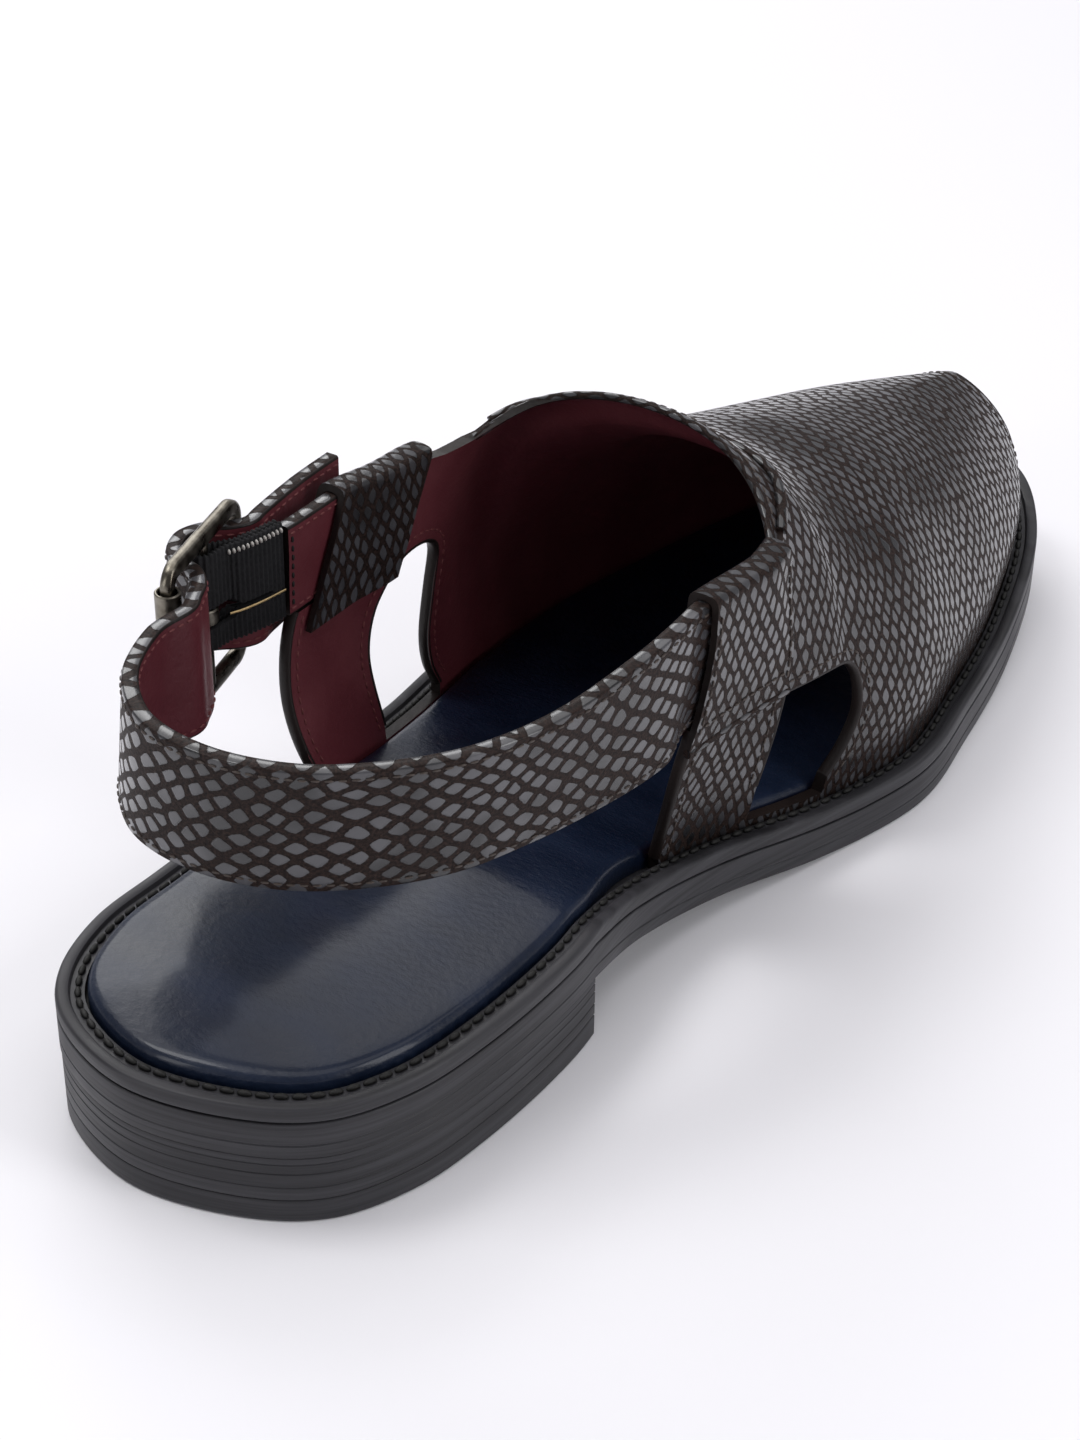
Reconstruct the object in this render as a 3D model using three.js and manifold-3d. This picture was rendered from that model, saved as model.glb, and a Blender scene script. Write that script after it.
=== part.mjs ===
// Left-foot slingback peshawari chappal with an open toe, a stacked heel and a buckled heel strap.
// Millimetres, +Z up, +Y towards the toe, +X towards the inner side of the foot.
import * as THREE from 'three';
import { mergeVertices } from 'three/addons/utils/BufferGeometryUtils.js';
import Module from 'manifold-3d';

const wasm = await Module();
wasm.setup();

// Driving dimensions of the sole
const OUTSOLE_LENGTH = 291;
const BALL_WIDTH = 104;
const HEEL_LENGTH = 81.5;
const HEEL_HEIGHT = 13.7;
const HEEL_PITCH = 1;
const ARCH_LENGTH = 81.5;
const TREAD_LENGTH = 40;
const TOE_SPRING = 12.5;
const OUTSOLE_THICKNESS = 7.6;
const TOP_PIECE_THICKNESS = 4.8;
const WELT_HEIGHT = 3.3;
const WELT_RIM_WIDTH = 2.5;
const WELT_CHANNEL_DEPTH = 1;
const FEATHER_INSET = 5.5;
const INSOLE_RISE = 1.9;
const INSOLE_TAPER = 18;
const INSOLE_LEAD = 8;
const GROOVE_DEPTH = 0.6;
const GROOVE_WIDTH = 0.9;
const EDGE_ROUND = 0.6;
const GAP = 0.3;

// Driving dimensions of the upper, the straps and the buckle
const INSTEP_HEIGHT = 91;
const UPPER_WALL = 2.4;
const BAND_STEP = 1.1;
const BAND_WIDTH = 8;
const SLEEVE_LEATHER = 1.3;
const SLEEVE_LAP = 5;
const SLEEVE_ROOM = 0.6;
const STRAP_WIDTH = 27;
const STRAP_THICKNESS = 3;
const STRAP_HEIGHT = 67;
const TAB_WIDTH = 20.4;
const ELASTIC_PLY = 1.2;
const ELASTIC_SLIT = 4.4;
const TAB_CLEARANCE = 0.9;
const BUCKLE_LENGTH = 31;
const BUCKLE_BAR = 2.4;
const BUCKLE_SIDE_BAR = 3.3;
const CENTRE_BAR_RADIUS = 1.2;
const ROLLER_WALL = 0.6;
const PRONG_RADIUS = 1;

// The buckle's centre bar in plan, and the plan direction of the buckle towards the toe
const BUCKLE_CENTRE = new THREE.Vector3(-44.8, 70.6, STRAP_HEIGHT);
const BUCKLE_FORWARD = new THREE.Vector3(-0.286, 0.958, 0).normalize();

// The heel's floor face has its middle here, and the part's origin is put on it.
const HEEL_CENTRE = new THREE.Vector2(-0.5, 41);

// The sole's edge: distance from the heel's back as a share of the length, and how far the edge
// lies to the inner and outer side of the shoe's axis as shares of the ball width
const SOLE_PLAN = [
  { at: 0, inner: -0.046, outer: 0.046 },
  { at: 0.02, inner: 0.165, outer: 0.235 },
  { at: 0.05, inner: 0.279, outer: 0.315 },
  { at: 0.1, inner: 0.346, outer: 0.365 },
  { at: 0.16, inner: 0.37, outer: 0.372 },
  { at: 0.25, inner: 0.369, outer: 0.379 },
  { at: 0.34, inner: 0.333, outer: 0.407 },
  { at: 0.43, inner: 0.349, outer: 0.456 },
  { at: 0.53, inner: 0.418, outer: 0.518 },
  { at: 0.63, inner: 0.475, outer: 0.525 },
  { at: 0.72, inner: 0.439, outer: 0.491 },
  { at: 0.82, inner: 0.383, outer: 0.418 },
  { at: 0.92, inner: 0.29, outer: 0.284 },
  { at: 0.97, inner: 0.197, outer: 0.157 },
  { at: 0.99, inner: 0.124, outer: 0.074 },
  { at: 1, inner: 0.026, outer: -0.026 },
];

// Cross-sections of the upper's outer face. crown: height of its top as a share of the instep
// height. lean: the top's place towards the inner side as a share of the ball width. wall: power of
// the sine that sets how squarely the arch rises.
const CROWN_LINE = [
  { at: 0.24, crown: 1.06, lean: -0.01, wall: 0.5 },
  { at: 0.36, crown: 1.05, lean: -0.01, wall: 0.5 },
  { at: 0.4, crown: 1.045, lean: -0.01, wall: 0.5 },
  { at: 0.44, crown: 1.036, lean: -0.005, wall: 0.5 },
  { at: 0.47, crown: 1.02, lean: 0, wall: 0.5 },
  { at: 0.49, crown: 1.012, lean: 0, wall: 0.5 },
  { at: 0.51, crown: 1.016, lean: 0, wall: 0.5 },
  { at: 0.522, crown: 1.01, lean: 0.002, wall: 0.51 },
  { at: 0.536, crown: 0.972, lean: 0.005, wall: 0.54 },
  { at: 0.55, crown: 0.912, lean: 0.01, wall: 0.6 },
  { at: 0.605, crown: 0.813, lean: 0.02, wall: 0.74 },
  { at: 0.68, crown: 0.752, lean: 0.035, wall: 0.84 },
  { at: 0.763, crown: 0.683, lean: 0.035, wall: 0.88 },
  { at: 0.849, crown: 0.615, lean: 0.03, wall: 0.92 },
  { at: 0.928, crown: 0.55, lean: 0.025, wall: 0.97 },
  { at: 0.969, crown: 0.5, lean: 0.025, wall: 0.97 },
];
// Each side of those sections. flare: how far it leans out as a share of the ball width. rise: the
// height over which it does, as a share of the instep height. bend: power of the cosine that sets
// how early it bends over.
const INNER_FLANK = [
  { at: 0.24, flare: 0.12, rise: 0.75, bend: 0.12 },
  { at: 0.36, flare: 0.12, rise: 0.75, bend: 0.15 },
  { at: 0.4, flare: 0.11, rise: 0.72, bend: 0.14 },
  { at: 0.44, flare: 0.095, rise: 0.68, bend: 0.14 },
  { at: 0.47, flare: 0.065, rise: 0.5, bend: 0.21 },
  { at: 0.49, flare: 0.058, rise: 0.42, bend: 0.55 },
  { at: 0.51, flare: 0.05, rise: 0.36, bend: 0.83 },
  { at: 0.522, flare: 0.045, rise: 0.32, bend: 0.93 },
  { at: 0.536, flare: 0.04, rise: 0.28, bend: 0.85 },
  { at: 0.55, flare: 0.035, rise: 0.26, bend: 0.78 },
  { at: 0.605, flare: 0.03, rise: 0.22, bend: 0.8 },
  { at: 0.68, flare: 0.028, rise: 0.18, bend: 0.85 },
  { at: 0.763, flare: 0.025, rise: 0.16, bend: 0.92 },
  { at: 0.849, flare: 0.022, rise: 0.14, bend: 1.1 },
  { at: 0.928, flare: 0.02, rise: 0.12, bend: 1.4 },
  { at: 0.969, flare: 0.022, rise: 0.12, bend: 1.35 },
];
const OUTER_FLANK = [
  { at: 0.24, flare: 0.08, rise: 0.34, bend: 0.12 },
  { at: 0.36, flare: 0.048, rise: 0.34, bend: 0.12 },
  { at: 0.4, flare: 0.018, rise: 0.36, bend: 0.1 },
  { at: 0.44, flare: 0, rise: 0.42, bend: 0.1 },
  { at: 0.47, flare: 0, rise: 0.42, bend: 0.6 },
  { at: 0.49, flare: 0, rise: 0.42, bend: 0.8 },
  { at: 0.51, flare: 0, rise: 0.42, bend: 0.91 },
  { at: 0.522, flare: 0, rise: 0.4, bend: 1 },
  { at: 0.536, flare: 0, rise: 0.38, bend: 1 },
  { at: 0.55, flare: 0.005, rise: 0.36, bend: 1 },
  { at: 0.605, flare: 0.015, rise: 0.28, bend: 1 },
  { at: 0.68, flare: 0.018, rise: 0.22, bend: 1.03 },
  { at: 0.763, flare: 0.02, rise: 0.18, bend: 1.05 },
  { at: 0.849, flare: 0.02, rise: 0.14, bend: 1.1 },
  { at: 0.928, flare: 0.022, rise: 0.12, bend: 1.35 },
  { at: 0.969, flare: 0.025, rise: 0.12, bend: 1.3 },
];

// Side view of the throat and of the legs that carry the strap, from the floor up and forwards.
// along: share of the outsole length, up: share of the instep height
const INNER_SIDE_CUT = [
  { along: 0.389, up: -0.1 },
  { along: 0.389, up: 0.2 },
  { along: 0.387, up: 0.33 },
  { along: 0.386, up: 0.45 },
  { along: 0.389, up: 0.553 },
  { along: 0.456, up: 0.553 },
  { along: 0.459, up: 0.575 },
  { along: 0.461, up: 0.82 },
  { along: 0.478, up: 0.846 },
];
const OUTER_SIDE_CUT = [
  { along: 0.314, up: -0.1 },
  { along: 0.312, up: 0.2 },
  { along: 0.296, up: 0.33 },
  { along: 0.293, up: 0.47 },
  { along: 0.306, up: 0.62 },
  { along: 0.311, up: 0.65 },
  { along: 0.402, up: 0.65 },
  { along: 0.405, up: 0.67 },
  { along: 0.408, up: 0.82 },
  { along: 0.46, up: 0.828 },
  { along: 0.478, up: 0.846 },
];
const THROAT_LINE = [
  { along: 0.492, up: 0.886 },
  { along: 0.505, up: 0.93 },
  { along: 0.514, up: 0.967 },
  { along: 0.52, up: 1.02 },
  { along: 0.524, up: 1.15 },
];
// Side view of the two windows, from the lower rear corner round over the top
const INNER_WINDOW = [
  { along: 0.475, up: 0.26 },
  { along: 0.479, up: 0.4 },
  { along: 0.481, up: 0.49 },
  { along: 0.486, up: 0.508 },
  { along: 0.54, up: 0.492 },
  { along: 0.556, up: 0.465 },
  { along: 0.563, up: 0.41 },
  { along: 0.564, up: 0.33 },
  { along: 0.556, up: 0.245 },
  { along: 0.545, up: 0.18 },
];
const OUTER_WINDOW = [
  { along: 0.388, up: 0.24 },
  { along: 0.382, up: 0.35 },
  { along: 0.381, up: 0.44 },
  { along: 0.39, up: 0.53 },
  { along: 0.404, up: 0.585 },
  { along: 0.422, up: 0.62 },
  { along: 0.45, up: 0.615 },
  { along: 0.468, up: 0.565 },
  { along: 0.462, up: 0.47 },
  { along: 0.454, up: 0.36 },
  { along: 0.459, up: 0.27 },
  { along: 0.474, up: 0.19 },
];
// Side view of the open toe, from the sole up
const TOE_LINE = [
  { along: 0.966, up: -0.1 },
  { along: 0.963, up: 0.2 },
  { along: 0.957, up: 0.35 },
  { along: 0.943, up: 0.5 },
  { along: 0.925, up: 0.62 },
];

// Sleeves that hold the strap's end and the elastic's tab: side view of their rear and front edges
// as shares of the outsole length, the flaps' lower edge as a share of the instep height, how far
// the fold lies below the free strap's top, and how far it comes down towards the toe
const INNER_SLEEVE = {
  rearLow: 0.374,
  rearTop: 0.38,
  frontLow: 0.475,
  frontTop: 0.473,
  low: 0.53,
  drop: 0,
  fall: 1.8,
};
const OUTER_SLEEVE = {
  rearLow: 0.316,
  rearTop: 0.353,
  frontLow: 0.407,
  frontTop: 0.445,
  low: 0.6,
  drop: 1.2,
  fall: 2.4,
};

// Heel strap in plan from the inner sleeve round the heel's back: shares of the ball width to the
// inner side and of the outsole length to the toe
const STRAP_PLAN = [
  { side: 0.375, along: 0.33 },
  { side: 0.368, along: 0.28 },
  { side: 0.345, along: 0.225 },
  { side: 0.295, along: 0.172 },
  { side: 0.21, along: 0.13 },
  { side: 0.1, along: 0.098 },
  { side: -0.04, along: 0.082 },
  { side: -0.18, along: 0.087 },
  { side: -0.29, along: 0.117 },
  { side: -0.336, along: 0.156 },
];
// The strap's top leans this far to the inner side and back against its foot, halfway round
const STRAP_LEAN = new THREE.Vector2(4.4, -1.2);
// Shares of the strap's length over which the lean comes in and goes
const LEAN_FROM = [0.13, 0.3];
const LEAN_TO = [0.64, 0.74];
// The strap through the buckle: along the buckle from its centre bar, and outwards from it, as
// shares of the buckle's length
const STRAP_IN_BUCKLE = [
  { forward: -0.6, out: -0.18 },
  { forward: -0.46, out: -0.165 },
  { forward: -0.32, out: -0.13 },
  { forward: -0.2, out: -0.05 },
  { forward: -0.14, out: 0.055 },
  { forward: -0.06, out: 0.145 },
  { forward: 0.05, out: 0.19 },
  { forward: 0.17, out: 0.19 },
  { forward: 0.28, out: 0.11 },
  { forward: 0.36, out: -0.03 },
  { forward: 0.45, out: -0.11 },
  { forward: 0.6, out: -0.125 },
  { forward: 1, out: -0.18 },
  { forward: 1.36, out: -0.26 },
];
// The elastic's tail from the centre bar towards the tab, in the same shares
const ELASTIC_TAIL = [
  { forward: 0.05, out: -0.03 },
  { forward: 0.17, out: -0.13 },
  { forward: 0.31, out: -0.21 },
  { forward: 0.47, out: -0.28 },
];

// Colours and finishes read from the photograph
const FINISHES = {
  sole: { color: 0x2c2b2e, roughness: 0.55, metalness: 0 },
  insole: { color: 0x141c2b, roughness: 0.3, metalness: 0 },
  snake: { color: 0x3a3536, roughness: 0.4, metalness: 0 },
  lining: { color: 0x4a1a20, roughness: 0.55, metalness: 0 },
  elastic: { color: 0x121214, roughness: 0.9, metalness: 0 },
  metal: { color: 0x6b6455, roughness: 0.35, metalness: 1 },
};

// Value of one column of a table at a share of the length, on a smooth curve through its rows
function column(rows, key, at) {
  const last = rows.length - 1;
  const inside = THREE.MathUtils.clamp(at, rows[0].at, rows[last].at);
  let i = rows.findIndex((row) => row.at > inside) - 1;
  if (i < 0) i = last - 1;
  const slope = (j) => {
    const before = rows[Math.max(j - 1, 0)];
    const after = rows[Math.min(j + 1, last)];
    return (after[key] - before[key]) / (after.at - before.at);
  };
  const span = rows[i + 1].at - rows[i].at;
  const t = (inside - rows[i].at) / span;
  const start = (1 + 2 * t) * (1 - t) ** 2 * rows[i][key] + t * (1 - t) ** 2 * span * slope(i);
  const end = t * t * (3 - 2 * t) * rows[i + 1][key] - t * t * (1 - t) * span * slope(i + 1);
  return start + end;
}

// Heights along the shoe

// Height of the outsole's underside: level on the heel, down the arch, flat tread, toe spring
function underside(y) {
  const treadStart = HEEL_LENGTH + ARCH_LENGTH;
  const treadEnd = treadStart + TREAD_LENGTH;
  if (y < HEEL_LENGTH) return HEEL_HEIGHT + (HEEL_PITCH * (HEEL_LENGTH - y)) / HEEL_LENGTH;
  if (y < treadStart) return HEEL_HEIGHT * ((treadStart - y) / ARCH_LENGTH) ** 1.35;
  if (y < treadEnd) return 0;
  return TOE_SPRING * ((y - treadEnd) / (OUTSOLE_LENGTH - treadEnd)) ** 2;
}
const outsoleTop = (y) => underside(y) + OUTSOLE_THICKNESS;
const seatHeight = (y) => outsoleTop(y) + GAP;
const rimHeight = (y) => seatHeight(y) + WELT_HEIGHT;

// The sole's edge as a dense closed line, walked from the heel's back up the inner side
const EDGE_SAMPLES = 960;
const solePoint = (row, across) => new THREE.Vector3(across * BALL_WIDTH, row.at * OUTSOLE_LENGTH, 0);
const soleEdge = new THREE.CatmullRomCurve3(
  [
    ...SOLE_PLAN.map((row) => solePoint(row, row.inner)),
    ...SOLE_PLAN.slice(1, -1)
      .reverse()
      .map((row) => solePoint(row, -row.outer)),
  ],
  true,
  'centripetal',
).getSpacedPoints(EDGE_SAMPLES);
soleEdge.pop();

// The edge moved inwards, split at its rearmost and foremost points into inner and outer side
const insetCache = new Map();
function insetEdge(inset) {
  if (insetCache.has(inset)) return insetCache.get(inset);
  const count = soleEdge.length;
  const moved = soleEdge.map((point, i) => {
    const next = soleEdge[(i + 1) % count];
    const previous = soleEdge[(i + count - 1) % count];
    const along = next.clone().sub(previous).normalize();
    return new THREE.Vector3(point.x - along.y * inset, point.y + along.x * inset, 0);
  });
  let back = 0;
  let front = 0;
  moved.forEach((point, i) => {
    if (point.y < moved[back].y) back = i;
    if (point.y > moved[front].y) front = i;
  });
  const walk = (from, to) => {
    const side = [];
    for (let i = from; i !== to; i = (i + 1) % count) side.push(moved[i]);
    side.push(moved[to]);
    return side;
  };
  const result = {
    back: moved[back].y,
    front: moved[front].y,
    inner: walk(back, front),
    outer: walk(front, back).reverse(),
  };
  insetCache.set(inset, result);
  return result;
}

// x of an inset edge at a given y, on the inner (+1) or outer (-1) side
function edgeX(side, inset, y) {
  const edge = insetEdge(inset);
  const line = side > 0 ? edge.inner : edge.outer;
  const inside = THREE.MathUtils.clamp(y, edge.back, edge.front);
  let low = 0;
  let high = line.length - 1;
  while (high - low > 1) {
    const middle = (low + high) >> 1;
    if (line[middle].y <= inside) low = middle;
    else high = middle;
  }
  const span = line[high].y - line[low].y;
  const t = span > 0 ? (inside - line[low].y) / span : 0;
  return line[low].x + t * (line[high].x - line[low].x);
}

// Loops and solids

// A closed loop at one inset and height. It starts at the back and runs up the inner side, and
// point i and point N - i lie at the same y. With heelOnly it stops at the heel's breast.
function planLoop({ inset, height, heelOnly = false, count }) {
  const { back, front } = insetEdge(inset);
  const end = heelOnly ? HEEL_LENGTH - inset : front;
  const turn = heelOnly ? Math.PI / 2 : Math.PI;
  const share = (i) => (1 - Math.cos((turn * i) / count)) / (1 - Math.cos(turn));
  const stations = Array.from({ length: count + 1 }, (_, i) => back + (end - back) * share(i));
  // One station lies on the heel's breast, where the underside turns down.
  const past = stations.findIndex((y) => y > HEEL_LENGTH);
  if (past > 0) stations[past] = HEEL_LENGTH;
  const point = (side, i) => {
    const y = stations[i];
    return new THREE.Vector3(edgeX(side, inset, y), y, height(y));
  };
  const loop = [point(1, 0)];
  for (let i = 1; i <= count; i++) loop.push(point(1, i));
  for (let i = heelOnly ? count : count - 1; i > 0; i--) loop.push(point(-1, i));
  return loop;
}

// Walls between neighbouring loops, as triangles of indices
function loopWalls(loops, closed) {
  const n = loops[0].length;
  const faces = [];
  const bands = closed ? loops.length : loops.length - 1;
  for (let k = 0; k < bands; k++) {
    const low = k * n;
    const high = ((k + 1) % loops.length) * n;
    for (let i = 0; i < n; i++) {
      const j = (i + 1) % n;
      faces.push(low + i, low + j, high + j, low + i, high + j, high + i);
    }
  }
  return faces;
}

// Rungs across a loop whose points i and N - i face each other
function ladderCap(n, offset, up) {
  const faces = [];
  const add = (a, b, c) => faces.push(offset + a, offset + (up ? b : c), offset + (up ? c : b));
  add(0, 1, n - 1);
  for (let i = 1; i + 1 <= n - i - 1; i++) {
    add(i, i + 1, n - i);
    if (i + 1 < n - i - 1) add(i + 1, n - i - 1, n - i);
  }
  return faces;
}

function meshGeometry(points, faces) {
  const geometry = new THREE.BufferGeometry();
  const position = new Float32Array(points.flatMap((p) => [p.x, p.y, p.z]));
  geometry.setAttribute('position', new THREE.BufferAttribute(position, 3));
  geometry.setIndex(faces);
  return geometry;
}

// A plate made of loops stacked from the bottom up, closed at both ends
function stackedPlate(loops) {
  const n = loops[0].length;
  const faces = [
    ...ladderCap(n, 0, false),
    ...loopWalls(loops, false),
    ...ladderCap(n, (loops.length - 1) * n, true),
  ];
  return meshGeometry(loops.flat(), faces);
}

// A ring whose section is the closed run of loops
function loopRing(loops) {
  return meshGeometry(loops.flat(), loopWalls(loops, true));
}

// A bar through sections with equal numbers of points, closed by fans at both ends
function loftedBar(sections) {
  const n = sections[0].length;
  const points = sections.flat();
  const faces = loopWalls(sections, false);
  const centre = (section) =>
    section.reduce((sum, p) => sum.add(p), new THREE.Vector3()).divideScalar(n);
  const start = points.push(centre(sections[0])) - 1;
  const end = points.push(centre(sections[sections.length - 1])) - 1;
  const last = (sections.length - 1) * n;
  for (let i = 0; i < n; i++) {
    const j = (i + 1) % n;
    faces.push(start, j, i, end, last + i, last + j);
  }
  return meshGeometry(points, faces);
}

function toSolid(geometry) {
  const bare = geometry.clone();
  bare.deleteAttribute('normal');
  bare.deleteAttribute('uv');
  const merged = mergeVertices(bare, 1e-4);
  const solid = new wasm.Manifold(
    new wasm.Mesh({
      numProp: 3,
      vertProperties: new Float32Array(merged.attributes.position.array),
      triVerts: new Uint32Array(merged.index.array),
    }),
  );
  return solid;
}

function toGeometry(solid) {
  const mesh = solid.getMesh();
  const geometry = new THREE.BufferGeometry();
  geometry.setAttribute('position', new THREE.BufferAttribute(mesh.vertProperties, 3));
  geometry.setIndex(new THREE.BufferAttribute(mesh.triVerts, 1));
  return geometry;
}

function namedMesh(name, finish, geometry) {
  const shown = geometry.index ? geometry.toNonIndexed() : geometry;
  shown.computeVertexNormals();
  const mesh = new THREE.Mesh(shown, new THREE.MeshStandardMaterial(FINISHES[finish]));
  mesh.name = name;
  return mesh;
}

// Sole

const SOLE_STEPS = 44;
const HEEL_STEPS = 18;

function outsole() {
  const levels = [
    { inset: 1, height: underside },
    { inset: 0.2, height: (y) => underside(y) + EDGE_ROUND * 1.5 },
    { inset: 0, height: (y) => outsoleTop(y) - EDGE_ROUND },
    { inset: EDGE_ROUND, height: outsoleTop },
  ];
  return stackedPlate(levels.map((level) => planLoop({ ...level, count: SOLE_STEPS })));
}

function heelTopPiece() {
  const levels = [
    { inset: 1, height: () => 0 },
    { inset: 0.2, height: () => EDGE_ROUND * 1.5 },
    { inset: 0.2, height: () => TOP_PIECE_THICKNESS - EDGE_ROUND },
    { inset: 0.2 + EDGE_ROUND, height: () => TOP_PIECE_THICKNESS },
  ];
  return stackedPlate(levels.map((level) => planLoop({ ...level, heelOnly: true, count: HEEL_STEPS })));
}

// Shares of the heel block's height at which its stacked layers meet
const LAYER_JOINTS = [0.32, 0.7];
const HEEL_SIDE_INSET = 0.5;

function heelBlock() {
  const low = TOP_PIECE_THICKNESS + GAP;
  const high = (y) => underside(y) - GAP;
  const at = (share, shift) => (y) => low + share * (high(y) - low) + shift;
  const grooves = LAYER_JOINTS.flatMap((share) => [
    { inset: HEEL_SIDE_INSET, height: at(share, -GROOVE_WIDTH / 2) },
    { inset: HEEL_SIDE_INSET + GROOVE_DEPTH, height: at(share, -GROOVE_WIDTH / 6) },
    { inset: HEEL_SIDE_INSET + GROOVE_DEPTH, height: at(share, GROOVE_WIDTH / 6) },
    { inset: HEEL_SIDE_INSET, height: at(share, GROOVE_WIDTH / 2) },
  ]);
  const levels = [
    { inset: HEEL_SIDE_INSET + EDGE_ROUND, height: at(0, 0) },
    { inset: HEEL_SIDE_INSET, height: at(0, EDGE_ROUND) },
    ...grooves,
    { inset: HEEL_SIDE_INSET, height: at(1, -EDGE_ROUND) },
    { inset: HEEL_SIDE_INSET + EDGE_ROUND, height: at(1, 0) },
  ];
  return stackedPlate(levels.map((level) => planLoop({ ...level, heelOnly: true, count: HEEL_STEPS })));
}

function welt() {
  const channel = (y) => rimHeight(y) - WELT_CHANNEL_DEPTH;
  const levels = [
    { inset: EDGE_ROUND, height: seatHeight },
    { inset: 0, height: (y) => seatHeight(y) + EDGE_ROUND },
    { inset: 0, height: (y) => rimHeight(y) - EDGE_ROUND },
    { inset: EDGE_ROUND, height: rimHeight },
    { inset: WELT_RIM_WIDTH - 0.2, height: rimHeight },
    { inset: WELT_RIM_WIDTH + 0.2, height: channel },
    { inset: FEATHER_INSET - GAP, height: channel },
    { inset: FEATHER_INSET - GAP, height: seatHeight },
  ];
  return loopRing(levels.map((level) => planLoop({ ...level, count: SOLE_STEPS })));
}

// The padded insole meets the welt behind the legs, and stands back from the upper's wall
// further forward.
function insole() {
  const innerStart = INNER_SIDE_CUT[0].along * OUTSOLE_LENGTH;
  const outerStart = OUTER_SIDE_CUT[0].along * OUTSOLE_LENGTH;
  const wallInset = FEATHER_INSET + UPPER_WALL + 2 * GAP;
  const openInset = FEATHER_INSET + GAP;
  const shoulder = INSOLE_RISE / 2;
  const levels = [
    { step: 0, height: seatHeight },
    { step: 0, height: (y) => rimHeight(y) - shoulder },
    { step: 0.5, height: (y) => rimHeight(y) + shoulder * 0.5 },
    { step: 1.8, height: (y) => rimHeight(y) + shoulder * 1.2 },
    { step: 5.5, height: (y) => rimHeight(y) + INSOLE_RISE },
  ];
  const loops = levels.map(({ step, height }) => {
    const wide = planLoop({ inset: openInset + step, height, count: SOLE_STEPS });
    const narrow = planLoop({ inset: wallInset + step, height, count: SOLE_STEPS });
    return wide.map((point, i) => {
      const start = i <= SOLE_STEPS ? innerStart : outerStart;
      const end = start - INSOLE_LEAD;
      const share = THREE.MathUtils.smoothstep(point.y, end - INSOLE_TAPER, end);
      return point.lerp(narrow[i], share);
    });
  });
  return stackedPlate(loops);
}

// Upper

const UPPER_STATIONS = 30;
const ARCH_STEPS = 11;
const FLARE_EASE = 1.4;
const FIRST_SECTION = 0.25;
const LAST_SECTION = 0.968;

// One side of the upper's outer face at y: from the seat to the crown, as [x, z] pairs
function sectionSide(side, y) {
  const at = y / OUTSOLE_LENGTH;
  const crown = (key) => column(CROWN_LINE, key, at);
  const flank = (key) => column(side > 0 ? INNER_FLANK : OUTER_FLANK, key, at);
  const crownX = crown('lean') * BALL_WIDTH;
  const base = edgeX(side, FEATHER_INSET, y);
  const rim = rimHeight(y);
  const height = crown('crown') * INSTEP_HEIGHT - rim;
  const flare = flank('flare') * BALL_WIDTH;
  const rise = flank('rise') * INSTEP_HEIGHT;
  const points = [
    [base, seatHeight(y)],
    [base, rim],
  ];
  for (let j = 1; j <= ARCH_STEPS; j++) {
    const angle = ((Math.PI / 2) * j) / ARCH_STEPS;
    const up = height * Math.sin(angle) ** crown('wall');
    const climbed = Math.min(up / rise, 1);
    const reach = Math.abs(base - crownX) + flare * (1 - (1 - climbed) ** FLARE_EASE);
    const across = j === ARCH_STEPS ? 0 : Math.cos(angle) ** flank('bend');
    points.push([crownX + side * reach * across, rim + up]);
  }
  return points;
}

// The whole section from the inner seat over the crown to the outer seat
function upperSection(y) {
  const inner = sectionSide(1, y);
  const outer = sectionSide(-1, y).reverse().slice(1);
  return [...inner, ...outer].map(([x, z]) => new THREE.Vector3(x, y, z));
}

const upperGrid = Array.from({ length: UPPER_STATIONS + 1 }, (_, i) => {
  const share = THREE.MathUtils.lerp(FIRST_SECTION, LAST_SECTION, i / UPPER_STATIONS);
  return upperSection(share * OUTSOLE_LENGTH);
});
const upperNormals = upperGrid.map((section, i) =>
  section.map((point, j) => {
    const before = upperGrid[Math.max(i - 1, 0)][j];
    const after = upperGrid[Math.min(i + 1, UPPER_STATIONS)][j];
    const seat = j === 0 || j === section.length - 1;
    const low = section[seat ? j : j - 1];
    const high = section[seat ? j : j + 1];
    const along = after.clone().sub(before);
    const around = seat ? new THREE.Vector3(0, 0, j === 0 ? 1 : -1) : high.clone().sub(low);
    return along.cross(around).normalize();
  }),
);

// The form inside the upper's outer face moved inwards by depth, closed by a flat bottom. With
// overrun it reaches further down and past both ends, so that it cuts them open.
function upperForm(depth, overrun = 0) {
  const sections = upperGrid.map((section, i) =>
    section.map((point, j) => {
      const moved = point.clone().addScaledVector(upperNormals[i][j], -depth);
      if (j === 0 || j === section.length - 1) moved.z = point.z - overrun;
      return moved;
    }),
  );
  if (overrun > 0) {
    const shifted = (section, dy) => section.map((p) => new THREE.Vector3(p.x, p.y + dy, p.z));
    sections.unshift(shifted(sections[0], -overrun));
    sections.push(shifted(sections[sections.length - 1], overrun));
  }
  return toSolid(loftedBar(sections.map((section) => section.reverse())));
}

// Distance across from the shoe's axis to the upper's outer face at y and z
function outerFaceX(side, y, z) {
  const points = sectionSide(side, y);
  const k = points.findIndex(([, height]) => height >= z);
  if (k < 1) return points[Math.max(k, 0)][0];
  const [x0, z0] = points[k - 1];
  const [x1, z1] = points[k];
  return x0 + ((z - z0) / (z1 - z0)) * (x1 - x0);
}
const wallCentreX = (side, y, z) => outerFaceX(side, y, z) - (side * UPPER_WALL) / 2;

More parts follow.
